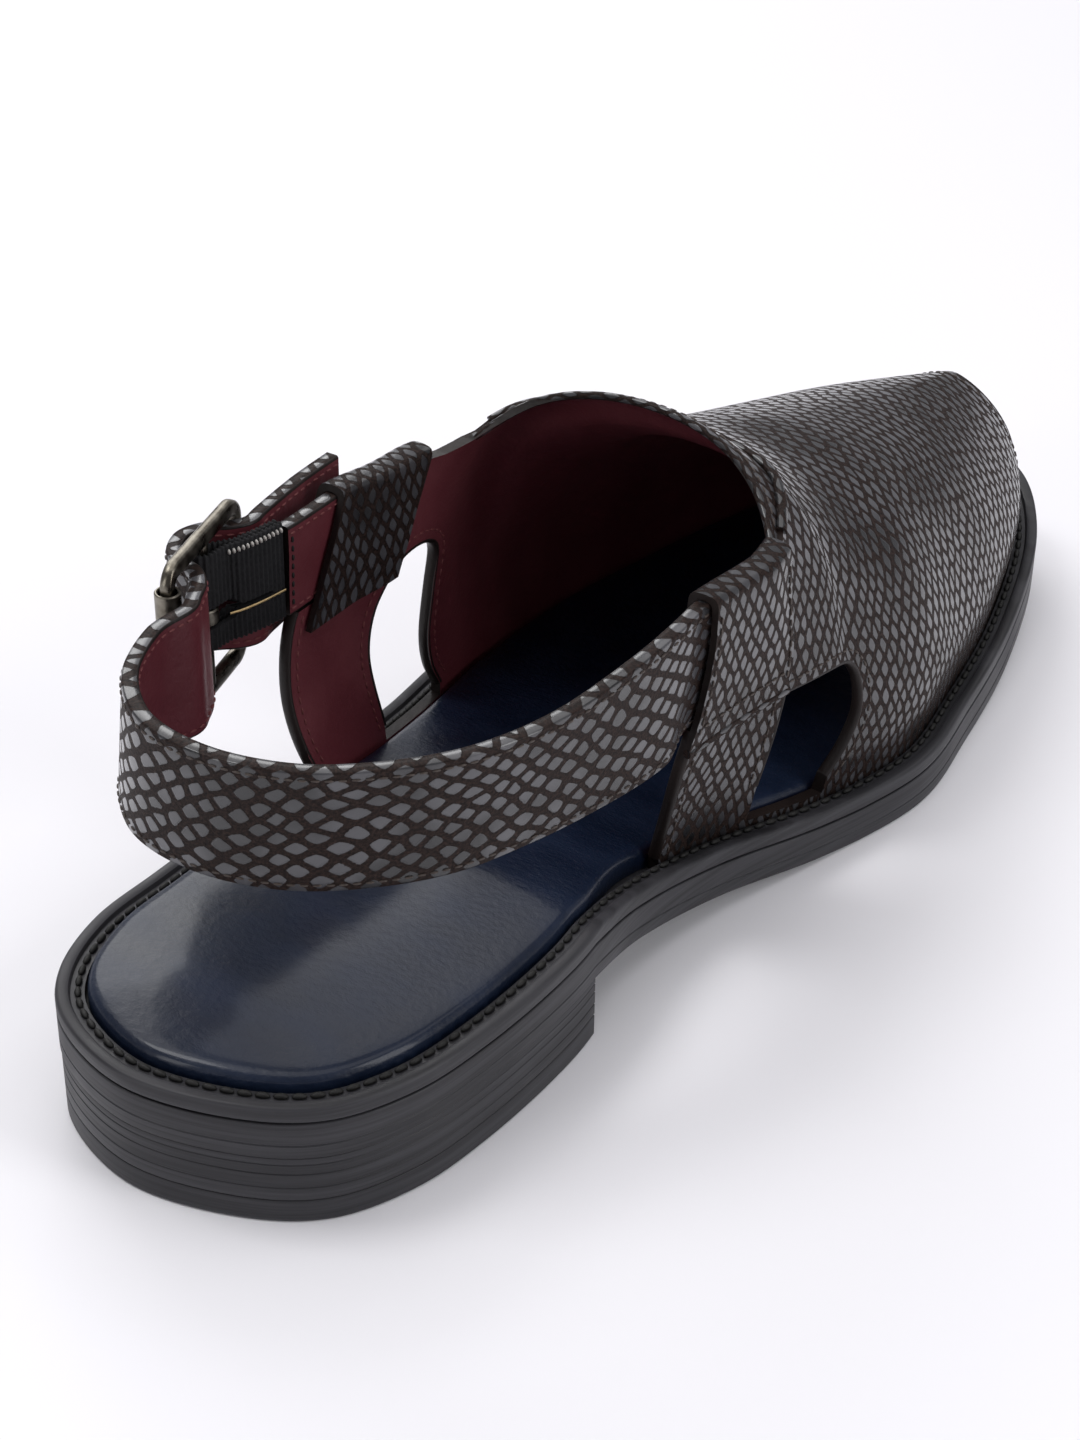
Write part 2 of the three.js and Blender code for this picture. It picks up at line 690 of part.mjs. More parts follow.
// A side-view outline, given as rows of along and up, extruded across the shoe
const CUT_REACH = 90;
const sidePoint = (row) => new THREE.Vector2(row.along * OUTSOLE_LENGTH, row.up * INSTEP_HEIGHT);
function sidePrism(outline, fromX, toX) {
  const geometry = new THREE.ExtrudeGeometry(new THREE.Shape(outline), {
    depth: toX - fromX,
    bevelEnabled: false,
  });
  geometry.applyMatrix4(
    new THREE.Matrix4().makeBasis(
      new THREE.Vector3(0, 1, 0),
      new THREE.Vector3(0, 0, 1),
      new THREE.Vector3(1, 0, 0),
    ),
  );
  geometry.translate(fromX, 0, 0);
  return toSolid(geometry);
}

// Points on a smooth line through the rows
function smoothLine(points, steps) {
  return new THREE.SplineCurve(points).getPoints(steps);
}

// What lies behind the throat line and behind the legs on one side
function throatCut(side, shift = 0) {
  const legs = (side > 0 ? INNER_SIDE_CUT : OUTER_SIDE_CUT).map(sidePoint);
  const throat = smoothLine([...legs.slice(-1), ...THROAT_LINE.map(sidePoint)], 14).slice(1);
  const top = throat[throat.length - 1];
  const rear = new THREE.Vector2(0.2 * OUTSOLE_LENGTH, top.y);
  const floor = new THREE.Vector2(rear.x, legs[0].y);
  const outline = [floor, ...legs, ...throat, rear].map((p) => new THREE.Vector2(p.x + shift, p.y));
  return side > 0 ? sidePrism(outline, 0, CUT_REACH) : sidePrism(outline, -CUT_REACH, 0);
}

// The band along the throat: its front edge bows forward from the corners to the crown.
function bandCut() {
  const line = smoothLine([sidePoint(INNER_SIDE_CUT.at(-1)), ...THROAT_LINE.map(sidePoint)], 14);
  const top = line[line.length - 1].y;
  const low = line[0].y;
  const front = line.map((p) => {
    const climbed = (p.y - low) / (INSTEP_HEIGHT - low);
    return new THREE.Vector2(p.x + BAND_WIDTH * Math.min(1, 0.25 + climbed), p.y);
  });
  const rear = line[0].x - BAND_WIDTH;
  const outline = [new THREE.Vector2(rear, low), ...front, new THREE.Vector2(rear, top)];
  return sidePrism(outline, -CUT_REACH, CUT_REACH);
}

// A window closed below by a line just above the welt
function windowCut(side) {
  const rows = (side > 0 ? INNER_WINDOW : OUTER_WINDOW).map(sidePoint);
  const curve = smoothLine(rows, 24);
  const sill = (y) => new THREE.Vector2(y, rimHeight(y) + 0.5);
  const front = rows[rows.length - 1].x;
  const rear = rows[0].x;
  const sillPoints = [0, 0.25, 0.5, 0.75, 1].map((t) => sill(THREE.MathUtils.lerp(front, rear, t)));
  const outline = [...curve.filter((p) => p.y > sill(p.x).y + 0.4), ...sillPoints];
  return side > 0 ? sidePrism(outline, 10, CUT_REACH) : sidePrism(outline, -CUT_REACH, -10);
}

function toeCut() {
  const line = smoothLine(TOE_LINE.map(sidePoint), 12);
  const front = 1.1 * OUTSOLE_LENGTH;
  const outline = [
    ...line,
    new THREE.Vector2(front, line[line.length - 1].y),
    new THREE.Vector2(front, line[0].y),
  ];
  return sidePrism(outline, -CUT_REACH, CUT_REACH);
}

function upper() {
  let shell = upperForm(0).subtract(upperForm(UPPER_WALL, 8));
  const band = bandCut().subtract(upperForm(BAND_STEP, 4));
  const cuts = [throatCut(1), throatCut(-1), windowCut(1), windowCut(-1), toeCut(), band];
  for (const cut of cuts) shell = shell.subtract(cut);
  return toGeometry(shell);
}

// Sleeves

const SLEEVE_STATIONS = 6;
const STRAP_STEPS = 90;
const HOLD_EASE = 12;

// Centre line of a wall held upright as far up as the strap: its lean continues straight
function heldX(side, y, z) {
  return wallCentreX(side, y, Math.min(z, STRAP_HEIGHT + STRAP_WIDTH / 4));
}

// How far a height inside a sleeve has come down at y: none at the strap's foot, all at its top
function fallAt(plan, y, z) {
  const rear = plan.rearTop * OUTSOLE_LENGTH;
  const front = plan.frontTop * OUTSOLE_LENGTH;
  const onward = THREE.MathUtils.clamp((y - rear) / (front - rear), 0, 1);
  const upward = (z - STRAP_HEIGHT) / STRAP_WIDTH + 0.5;
  return (plan.drop + plan.fall * onward) * THREE.MathUtils.clamp(upward, 0, 1);
}

// A sleeve folded over the strap, open below. Its flaps lap over the leg and the vamp's wall.
function sleeve(side, plan) {
  const strapTop = STRAP_HEIGHT + STRAP_WIDTH / 2 + GAP;
  const low = plan.low * INSTEP_HEIGHT;
  const lap = low + SLEEVE_LAP;
  const grip = UPPER_WALL / 2 + SLEEVE_ROOM;
  const room = STRAP_THICKNESS / 2 + SLEEVE_ROOM;
  const leather = SLEEVE_LEATHER;
  // Half of the section from the outer flap's foot to the fold, as across and up
  const outside = [
    { across: grip + leather, up: low },
    { across: grip + leather, up: lap - 2 },
    { across: room + leather, up: lap + 1 },
    { across: room + leather, up: strapTop - 1.2 },
    { across: room + leather * 0.6, up: strapTop + leather * 0.7 },
    { across: room * 0.5, up: strapTop + leather },
  ];
  const inside = [
    { across: grip, up: low },
    { across: grip, up: lap - 2 },
    { across: room, up: lap + 1 },
    { across: room, up: strapTop - 1 },
    { across: room * 0.6, up: strapTop },
  ];
  const mirrored = (points) => points.map(({ across, up }) => ({ across: -across, up })).reverse();
  const around = [...outside, ...mirrored(outside)];
  const section = [...around, ...mirrored(inside).reverse(), ...inside.slice().reverse()];
  const edge = (lowShare, topShare, z) => {
    const t = (z - low) / (strapTop - low);
    return THREE.MathUtils.lerp(lowShare, topShare, t) * OUTSOLE_LENGTH;
  };
  const sections = [];
  for (let i = 0; i <= SLEEVE_STATIONS; i++) {
    const points = section.map(({ across, up }) => {
      const rear = edge(plan.rearLow, plan.rearTop, up);
      const front = edge(plan.frontLow, plan.frontTop, up);
      const y = THREE.MathUtils.lerp(rear, front, i / SLEEVE_STATIONS);
      return new THREE.Vector3(heldX(side, y, up) + side * across, y, up - fallAt(plan, y, up));
    });
    sections.push(side > 0 ? points.reverse() : points);
  }
  return sections;
}

// A lofted tube of hollow U sections, closed at both ends by the U itself
function sleeveGeometry(side, plan) {
  const sections = sleeve(side, plan);
  const n = sections[0].length;
  const faces = loopWalls(sections, false);
  const last = (sections.length - 1) * n;
  const outline = sections[0].map((p) => new THREE.Vector2(p.x, p.z));
  const caps = THREE.ShapeUtils.triangulateShape(outline, []);
  const clockwise = THREE.ShapeUtils.area(outline) < 0;
  for (const [a, b, c] of caps) {
    if (clockwise) faces.push(a, b, c, last + a, last + c, last + b);
    else faces.push(a, c, b, last + a, last + b, last + c);
  }
  return meshGeometry(sections.flat(), faces);
}

// Straps

// A flat strap standing on edge along a plan line, with eased edges. place moves each of its
// points, given the station's plan point, the offset across and the height.
function ribbon(line, { thickness, low, high, place }) {
  const ease = thickness * 0.22;
  const half = thickness / 2;
  const outline = [
    [half, low + ease],
    [half, high - ease],
    [half - ease, high],
    [ease - half, high],
    [-half, high - ease],
    [-half, low + ease],
    [ease - half, low],
    [half - ease, low],
  ];
  const sections = line.map((point, i) => {
    const before = line[Math.max(i - 1, 0)];
    const after = line[Math.min(i + 1, line.length - 1)];
    const along = after.clone().sub(before).normalize();
    const right = new THREE.Vector2(along.y, -along.x);
    const moved = (across) => point.clone().addScaledVector(right, across);
    return outline.map(([across, z]) => place(moved(across), z, point, i));
  });
  return loftedBar(sections.map((section) => section.reverse()));
}

// The buckle's own frame: X forwards, Y up, Z inwards, from the middle of its centre bar
const buckleInward = new THREE.Vector3().crossVectors(BUCKLE_FORWARD, new THREE.Vector3(0, 0, 1));
const buckleMatrix = new THREE.Matrix4()
  .makeBasis(BUCKLE_FORWARD, new THREE.Vector3(0, 0, 1), buckleInward)
  .setPosition(BUCKLE_CENTRE);
const bucklePlan = ({ forward, out }) => {
  const point = new THREE.Vector3(forward * BUCKLE_LENGTH, 0, -out * BUCKLE_LENGTH);
  point.applyMatrix4(buckleMatrix);
  return new THREE.Vector2(point.x, point.y);
};
const BUCKLE_REACH = (BUCKLE_LENGTH - BUCKLE_BAR) / 2;

// Plan points of a strap held in a sleeve, from its end back to the sleeve's rear edge
function heldLine(side, plan, end) {
  const rear = plan.rearLow * OUTSOLE_LENGTH - 1;
  return [0, 0.25, 0.5, 0.75, 1].map((share) => {
    const y = THREE.MathUtils.lerp(end, rear, share);
    return new THREE.Vector2(wallCentreX(side, y, STRAP_HEIGHT), y);
  });
}

// The strap in plan: the end in the inner sleeve, the heel's round, and the way through the buckle
function strapLine() {
  const end = INNER_SIDE_CUT[6].along * OUTSOLE_LENGTH - 1.6;
  const held = heldLine(1, INNER_SLEEVE, end);
  const free = STRAP_PLAN.map(
    (row) => new THREE.Vector2(row.side * BALL_WIDTH, row.along * OUTSOLE_LENGTH),
  );
  const curve = new THREE.SplineCurve([...held, ...free, ...STRAP_IN_BUCKLE.map(bucklePlan)]);
  return curve.getSpacedPoints(STRAP_STEPS);
}

// A point of a strap held in a sleeve: it leans and falls with the wall, and lets go behind it
function heldPlace(side, plan) {
  const rear = plan.rearLow * OUTSOLE_LENGTH;
  return (moved, z, point) => {
    const grip = THREE.MathUtils.smoothstep(point.y, rear - HOLD_EASE, rear - 1);
    const lean = heldX(side, moved.y, z) - wallCentreX(side, moved.y, STRAP_HEIGHT);
    return new THREE.Vector3(moved.x + grip * lean, moved.y, z - fallAt(plan, moved.y, z));
  };
}

function backStrap() {
  const low = STRAP_HEIGHT - STRAP_WIDTH / 2;
  const hold = heldPlace(1, INNER_SLEEVE);
  const smooth = THREE.MathUtils.smoothstep;
  const place = (moved, z, point, i) => {
    const placed = point.x > 0 ? hold(moved, z, point) : new THREE.Vector3(moved.x, moved.y, z);
    const share = i / STRAP_STEPS;
    const swing = smooth(share, ...LEAN_FROM) * (1 - smooth(share, ...LEAN_TO));
    const reach = (swing * (z - STRAP_HEIGHT)) / STRAP_WIDTH;
    return placed.add(new THREE.Vector3(STRAP_LEAN.x * reach, STRAP_LEAN.y * reach, 0));
  };
  const size = { thickness: STRAP_THICKNESS, low, high: low + STRAP_WIDTH };
  const strap = ribbon(strapLine(), { ...size, place });
  return toGeometry(toSolid(strap).subtract(toSolid(prongShank(PRONG_RADIUS + GAP + 0.2))));
}

function elasticTab() {
  const front = OUTER_SIDE_CUT[6].along * OUTSOLE_LENGTH - 1;
  const rear = bucklePlan(ELASTIC_TAIL[ELASTIC_TAIL.length - 1]);
  const held = heldLine(-1, OUTER_SLEEVE, front).reverse();
  const towards = held[0].clone().sub(rear).normalize();
  const start = rear.clone().addScaledVector(towards, TAB_CLEARANCE);
  const line = new THREE.SplineCurve([start, ...held]).getSpacedPoints(16);
  const high = STRAP_HEIGHT + STRAP_WIDTH / 2;
  const place = heldPlace(-1, OUTER_SLEEVE);
  return ribbon(line, { thickness: STRAP_THICKNESS, low: high - TAB_WIDTH, high, place });
}

// Webbing looped round the centre bar, with a slit for the prong
function elastic() {
  const inner = CENTRE_BAR_RADIUS + GAP;
  const outer = inner + ELASTIC_PLY;
  const tail = new THREE.SplineCurve(
    ELASTIC_TAIL.map(({ forward, out }) =>
      new THREE.Vector2(forward * BUCKLE_LENGTH, -out * BUCKLE_LENGTH)),
  ).getSpacedPoints(8);
  const edges = tail.map((point, i) => {
    const before = tail[Math.max(i - 1, 0)];
    const after = tail[Math.min(i + 1, tail.length - 1)];
    const along = after.clone().sub(before).normalize();
    const left = new THREE.Vector2(-along.y, along.x).multiplyScalar(ELASTIC_PLY);
    return { left: point.clone().add(left), right: point.clone().sub(left) };
  });
  const strip = new THREE.Shape([
    ...edges.map((e) => e.right),
    ...edges.map((e) => e.left).reverse(),
  ]);
  const height = TAB_WIDTH;
  const top = STRAP_WIDTH / 2;
  const raised = (shape) => {
    const solid = { depth: height, bevelEnabled: false, curveSegments: 14 };
    const geometry = new THREE.ExtrudeGeometry(shape, solid);
    geometry.rotateX(Math.PI / 2);
    geometry.translate(0, top, 0);
    return geometry;
  };
  const disc = (radius) => new THREE.Shape().absarc(0, 0, radius, 0, 2 * Math.PI);
  const loop = toSolid(raised(disc(outer))).add(toSolid(raised(strip)));
  const hollow = new THREE.CylinderGeometry(inner, inner, 3 * height, 18);
  const slit = new THREE.BoxGeometry(BUCKLE_LENGTH * 0.55, ELASTIC_SLIT, BUCKLE_LENGTH);
  slit.translate(BUCKLE_LENGTH * 0.1, 0, 0);
  const webbing = loop.subtract(toSolid(hollow)).subtract(toSolid(slit));
  return toGeometry(webbing).applyMatrix4(buckleMatrix);
}

// Buckle

function roundedRectangle(width, height, radius) {
  const shape = new THREE.Shape();
  const x = width / 2 - radius;
  const y = height / 2 - radius;
  shape.absarc(x, y, radius, 0, Math.PI / 2);
  shape.absarc(-x, y, radius, Math.PI / 2, Math.PI);
  shape.absarc(-x, -y, radius, Math.PI, 1.5 * Math.PI);
  shape.absarc(x, -y, radius, 1.5 * Math.PI, 2 * Math.PI);
  return shape;
}

const FRAME_OPENING = STRAP_WIDTH + 2;

function buckleFrame() {
  const bevel = 0.55;
  const height = FRAME_OPENING + 2 * BUCKLE_SIDE_BAR;
  const shape = roundedRectangle(BUCKLE_LENGTH - 2 * bevel, height - 2 * bevel, 4);
  shape.holes.push(
    roundedRectangle(BUCKLE_LENGTH - 2 * BUCKLE_BAR + 2 * bevel, FRAME_OPENING + 2 * bevel, 2),
  );
  const ring = new THREE.ExtrudeGeometry(shape, {
    depth: BUCKLE_BAR - 2 * bevel,
    bevelThickness: bevel,
    bevelSize: bevel,
    bevelSegments: 2,
    curveSegments: 3,
  });
  ring.translate(0, 0, bevel - BUCKLE_BAR / 2);
  const bar = new THREE.CylinderGeometry(CENTRE_BAR_RADIUS, CENTRE_BAR_RADIUS, FRAME_OPENING + 2, 12);
  return toGeometry(toSolid(ring).add(toSolid(bar))).applyMatrix4(buckleMatrix);
}

const ROLLER_RADIUS = BUCKLE_BAR / 2 + 0.35 + GAP + ROLLER_WALL;

function buckleRoller() {
  const inner = ROLLER_RADIUS - ROLLER_WALL;
  const half = STRAP_WIDTH / 2 - 0.5;
  const profile = [
    new THREE.Vector2(inner, -half),
    new THREE.Vector2(ROLLER_RADIUS, -half),
    new THREE.Vector2(ROLLER_RADIUS, half),
    new THREE.Vector2(inner, half),
    new THREE.Vector2(inner, -half),
  ];
  const roller = new THREE.LatheGeometry(profile, 16);
  roller.translate(-BUCKLE_REACH, 0, 0);
  return roller.applyMatrix4(buckleMatrix);
}

// The prong's shank, from its eye on the centre bar to its tip over the roller
function prongShank(radius) {
  const over = ROLLER_RADIUS + GAP + PRONG_RADIUS;
  const path = new THREE.CatmullRomCurve3([
    new THREE.Vector3(-CENTRE_BAR_RADIUS - GAP - 0.5, 0, -0.4),
    new THREE.Vector3(-BUCKLE_REACH * 0.4, 0, -over * 0.85),
    new THREE.Vector3(-BUCKLE_REACH * 0.75, 0, -over * 1.12),
    new THREE.Vector3(-BUCKLE_REACH, 0, -over - 0.1),
    new THREE.Vector3(-BUCKLE_REACH - ROLLER_RADIUS - 0.6, 0, -over + 0.3),
  ]);
  const section = new THREE.Shape().absarc(0, 0, radius, 0, 2 * Math.PI);
  const shank = new THREE.ExtrudeGeometry(section, { extrudePath: path, steps: 10, curveSegments: 4 });
  return shank.applyMatrix4(buckleMatrix);
}

function buckleProng() {
  const inner = CENTRE_BAR_RADIUS + GAP;
  const outer = inner + 1;
  const half = ELASTIC_SLIT / 2 - 0.6;
  const profile = [
    new THREE.Vector2(inner, -half),
    new THREE.Vector2(outer, -half),
    new THREE.Vector2(outer, half),
    new THREE.Vector2(inner, half),
    new THREE.Vector2(inner, -half),
  ];
  const eye = new THREE.LatheGeometry(profile, 16).applyMatrix4(buckleMatrix);
  const hole = new THREE.CylinderGeometry(inner, inner, 4 * half, 16).applyMatrix4(buckleMatrix);
  const shank = toSolid(prongShank(PRONG_RADIUS)).subtract(toSolid(hole));
  return toGeometry(toSolid(eye).add(shank));
}

// Assembly

const chappal = new THREE.Group();
chappal.position.set(-HEEL_CENTRE.x, -HEEL_CENTRE.y, 0);
chappal.add(namedMesh('heel_top_piece', 'sole', heelTopPiece()));
chappal.add(namedMesh('heel_block', 'sole', heelBlock()));
chappal.add(namedMesh('outsole', 'sole', outsole()));
chappal.add(namedMesh('welt', 'sole', welt()));
chappal.add(namedMesh('insole', 'insole', insole()));
chappal.add(namedMesh('upper', 'snake', upper()));
chappal.add(namedMesh('sleeve_inner', 'snake', sleeveGeometry(1, INNER_SLEEVE)));
chappal.add(namedMesh('sleeve_outer', 'snake', sleeveGeometry(-1, OUTER_SLEEVE)));
chappal.add(namedMesh('back_strap', 'snake', backStrap()));
chappal.add(namedMesh('elastic_tab', 'lining', elasticTab()));
chappal.add(namedMesh('elastic', 'elastic', elastic()));
chappal.add(namedMesh('buckle_frame', 'metal', buckleFrame()));
chappal.add(namedMesh('buckle_roller', 'metal', buckleRoller()));
chappal.add(namedMesh('buckle_prong', 'metal', buckleProng()));

export default chappal;
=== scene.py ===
import functools
import math

import bmesh
import bpy
import numpy as np
from mathutils import Matrix, Vector


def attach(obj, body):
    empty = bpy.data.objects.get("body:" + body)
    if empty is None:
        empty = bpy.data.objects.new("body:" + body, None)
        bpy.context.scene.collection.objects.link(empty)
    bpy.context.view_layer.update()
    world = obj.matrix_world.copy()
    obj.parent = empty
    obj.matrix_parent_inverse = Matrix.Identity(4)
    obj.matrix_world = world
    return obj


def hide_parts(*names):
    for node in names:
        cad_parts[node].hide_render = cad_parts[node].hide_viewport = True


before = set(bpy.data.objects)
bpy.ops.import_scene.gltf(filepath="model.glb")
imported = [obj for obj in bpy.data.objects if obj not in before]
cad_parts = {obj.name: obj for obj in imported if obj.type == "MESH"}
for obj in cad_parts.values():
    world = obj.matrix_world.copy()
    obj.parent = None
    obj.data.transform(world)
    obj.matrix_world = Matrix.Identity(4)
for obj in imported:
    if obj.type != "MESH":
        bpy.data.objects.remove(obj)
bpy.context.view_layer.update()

# Driving dimensions, the same as the solids'
OUTSOLE_LENGTH = 291
BALL_WIDTH = 104
HEEL_LENGTH = 81.5
HEEL_HEIGHT = 13.7
HEEL_PITCH = 1
ARCH_LENGTH = 81.5
TREAD_LENGTH = 40
TOE_SPRING = 12.5
OUTSOLE_THICKNESS = 7.6
TOP_PIECE_THICKNESS = 4.8
WELT_HEIGHT = 3.3
WELT_RIM_WIDTH = 2.5
WELT_CHANNEL_DEPTH = 1
FEATHER_INSET = 5.5
INSOLE_RISE = 1.9
INSOLE_TAPER = 18
INSOLE_LEAD = 8
GAP = 0.3
INSTEP_HEIGHT = 91
UPPER_WALL = 2.4
BAND_STEP = 1.1
BAND_WIDTH = 8
BAND_SPREAD = 12
SLEEVE_LEATHER = 1.3
SLEEVE_LAP = 5
SLEEVE_ROOM = 0.6
STRAP_WIDTH = 27
STRAP_THICKNESS = 3
STRAP_HEIGHT = 67
TAB_WIDTH = 20.4
ELASTIC_PLY = 1.2
ELASTIC_SLIT = 4.4
TAB_CLEARANCE = 0.9
BUCKLE_LENGTH = 31
BUCKLE_BAR = 2.4
BUCKLE_SIDE_BAR = 3.3
CENTRE_BAR_RADIUS = 1.2
ROLLER_WALL = 0.6
PRONG_RADIUS = 1
BUCKLE_CENTRE = np.array((-44.8, 70.6, STRAP_HEIGHT))
BUCKLE_FORWARD = np.array((-0.286, 0.958, 0)) / math.hypot(0.286, 0.958)
FRAME_ORIGIN = np.array((-0.5, 41, 0))
STRAP_TOP = STRAP_HEIGHT + STRAP_WIDTH / 2
STRAP_LOW = STRAP_HEIGHT - STRAP_WIDTH / 2


def table(names, rows):
    """The named columns of a table of rows."""
    return dict(zip(names.split(), np.array(rows, float).T))


# The sole's edge: shares of the length, and shares of the ball width to each side of the axis
SOLE_PLAN = table(
    "at inner outer",
    [(0, -0.046, 0.046), (0.02, 0.165, 0.235), (0.05, 0.279, 0.315), (0.1, 0.346, 0.365)]
    + [(0.16, 0.37, 0.372), (0.25, 0.369, 0.379), (0.34, 0.333, 0.407), (0.43, 0.349, 0.456)]
    + [(0.53, 0.418, 0.518), (0.63, 0.475, 0.525), (0.72, 0.439, 0.491), (0.82, 0.383, 0.418)]
    + [(0.92, 0.29, 0.284), (0.97, 0.197, 0.157), (0.99, 0.124, 0.074), (1, 0.026, -0.026)],
)
# Sections of the upper: crown height, the crown's place across and the power of the arch's sine, then
# for each flank how far it leans out, over what height, and how early it bends over
SECTIONS = table(
    "at crown lean wall inner_flare inner_rise inner_bend outer_flare outer_rise outer_bend",
    [
        (0.24, 1.06, -0.01, 0.5, 0.12, 0.75, 0.12, 0.08, 0.34, 0.12),
        (0.36, 1.05, -0.01, 0.5, 0.12, 0.75, 0.15, 0.048, 0.34, 0.12),
        (0.4, 1.045, -0.01, 0.5, 0.11, 0.72, 0.14, 0.018, 0.36, 0.1),
        (0.44, 1.036, -0.005, 0.5, 0.095, 0.68, 0.14, 0, 0.42, 0.1),
        (0.47, 1.02, 0, 0.5, 0.065, 0.5, 0.21, 0, 0.42, 0.6),
        (0.49, 1.012, 0, 0.5, 0.058, 0.42, 0.55, 0, 0.42, 0.8),
        (0.51, 1.016, 0, 0.5, 0.05, 0.36, 0.83, 0, 0.42, 0.91),
        (0.522, 1.01, 0.002, 0.51, 0.045, 0.32, 0.93, 0, 0.4, 1),
        (0.536, 0.972, 0.005, 0.54, 0.04, 0.28, 0.85, 0, 0.38, 1),
        (0.55, 0.912, 0.01, 0.6, 0.035, 0.26, 0.78, 0.005, 0.36, 1),
        (0.605, 0.813, 0.02, 0.74, 0.03, 0.22, 0.8, 0.015, 0.28, 1),
        (0.68, 0.752, 0.035, 0.84, 0.028, 0.18, 0.85, 0.018, 0.22, 1.03),
        (0.763, 0.683, 0.035, 0.88, 0.025, 0.16, 0.92, 0.02, 0.18, 1.05),
        (0.849, 0.615, 0.03, 0.92, 0.022, 0.14, 1.1, 0.02, 0.14, 1.1),
        (0.928, 0.55, 0.025, 0.97, 0.02, 0.12, 1.4, 0.022, 0.12, 1.35),
        (0.969, 0.5, 0.025, 0.97, 0.022, 0.12, 1.35, 0.025, 0.12, 1.3),
    ],
)


def side_rows(rows):
    """Side-view points from shares of the outsole length and of the instep height."""
    return np.array(rows, float) * (OUTSOLE_LENGTH, INSTEP_HEIGHT)


# Side 1 is the inner side of the foot and side -1 the outer one
SIDES = {1: "inner", -1: "outer"}
# Side view of the legs' rear edges, of the throat, the windows and the open toe, as (along, up)
SIDE_CUT = {
    1: side_rows(
        [(0.389, -0.1), (0.389, 0.2), (0.387, 0.33), (0.386, 0.45), (0.389, 0.553)]
        + [(0.456, 0.553), (0.459, 0.575), (0.461, 0.82), (0.478, 0.846)]
    ),
    -1: side_rows(
        [(0.314, -0.1), (0.312, 0.2), (0.296, 0.33), (0.293, 0.47), (0.306, 0.62), (0.311, 0.65)]
        + [(0.402, 0.65), (0.405, 0.67), (0.408, 0.82), (0.46, 0.828), (0.478, 0.846)]
    ),
}
# Points of the side cut: the top of the leg's rear edge, and where the wall stops a strap's end
LEG_TOP = {1: 4, -1: 5}
STRAP_STOP = 6
THROAT_LINE = side_rows([(0.492, 0.886), (0.505, 0.93), (0.514, 0.967), (0.52, 1.02), (0.524, 1.15)])
WINDOW = {
    1: side_rows(
        [(0.475, 0.26), (0.479, 0.4), (0.481, 0.49), (0.486, 0.508), (0.54, 0.492), (0.556, 0.465)]
        + [(0.563, 0.41), (0.564, 0.33), (0.556, 0.245), (0.545, 0.18)]
    ),
    -1: side_rows(
        [(0.388, 0.24), (0.382, 0.35), (0.381, 0.44), (0.39, 0.53), (0.404, 0.585), (0.422, 0.62)]
        + [(0.45, 0.615), (0.468, 0.565), (0.462, 0.47), (0.454, 0.36), (0.459, 0.27), (0.474, 0.19)]
    ),
}
TOE_LINE = side_rows([(0.966, -0.1), (0.963, 0.2), (0.957, 0.35), (0.943, 0.5), (0.925, 0.62)])
# Sleeves: shares for the rear and front edge at the foot and at the top, and for the foot's height,
# then how many millimetres the top comes down at the rear, and further at the front
SLEEVE_COLUMNS = "rear_low rear_top front_low front_top low drop fall".split()
SLEEVE = {
    1: dict(zip(SLEEVE_COLUMNS, (0.374, 0.38, 0.475, 0.473, 0.53, 0, 1.8))),
    -1: dict(zip(SLEEVE_COLUMNS, (0.316, 0.353, 0.407, 0.445, 0.6, 1.2, 2.4))),
}
# Heel strap in plan as (side, along) shares, and the strap and elastic in the buckle's own shares
STRAP_PLAN = np.array(
    [(0.375, 0.33), (0.368, 0.28), (0.345, 0.225), (0.295, 0.172), (0.21, 0.13), (0.1, 0.098)]
    + [(-0.04, 0.082), (-0.18, 0.087), (-0.29, 0.117), (-0.336, 0.156)]
)
STRAP_LEAN = np.array((4.4, -1.2, 0))
LEAN_FROM = (0.13, 0.3)
LEAN_TO = (0.64, 0.74)
STRAP_IN_BUCKLE = np.array(
    [(-0.6, -0.18), (-0.46, -0.165), (-0.32, -0.13), (-0.2, -0.05), (-0.14, 0.055)]
    + [(-0.06, 0.145), (0.05, 0.19), (0.17, 0.19), (0.28, 0.11), (0.36, -0.03)]
    + [(0.45, -0.11), (0.6, -0.125), (1, -0.18), (1.36, -0.26)]
)
ELASTIC_TAIL = np.array([(0.05, -0.03), (0.17, -0.13), (0.31, -0.21), (0.47, -0.28)])

# Curves


def smoothstep(x, low, high):
    t = np.clip((np.asarray(x, float) - low) / (high - low), 0, 1)
    return t * t * (3 - 2 * t)


def joined(*coordinates):
    """Points from their coordinates, each an array or one number for all."""
    return np.stack(np.broadcast_arrays(*coordinates), axis=-1)


def unit(rows):
    """Directions made one long."""
    return rows / np.linalg.norm(rows, axis=-1, keepdims=True)


def directions(line):
    """The direction of a line at each of its points."""
    return unit(np.gradient(line, axis=0))


def left_of(along):
    """Plan directions a quarter turn to the left."""
    return joined(-along[:, 1], along[:, 0])


def cubic(start, end, leave, arrive, t):
    """A cubic from start to end, with its slope at both."""
    square = 3 * end - 3 * start - 2 * leave - arrive
    return start + leave * t + square * t**2 + (2 * start - 2 * end + leave + arrive) * t**3


def column(rows, key, at):
    """One column of a table at shares of the length, on a smooth curve through its rows."""
    places = rows["at"]
    values = rows[key]
    at = np.clip(at, places[0], places[-1])
    i = np.clip(np.searchsorted(places, at, side="right") - 1, 0, len(places) - 2)
    before = np.maximum(np.arange(len(places)) - 1, 0)
    after = np.minimum(np.arange(len(places)) + 1, len(places) - 1)
    slopes = (values[after] - values[before]) / (places[after] - places[before])
    span = places[i + 1] - places[i]
    t = (at - places[i]) / span
    return cubic(values[i], values[i + 1], span * slopes[i], span * slopes[i + 1], t)


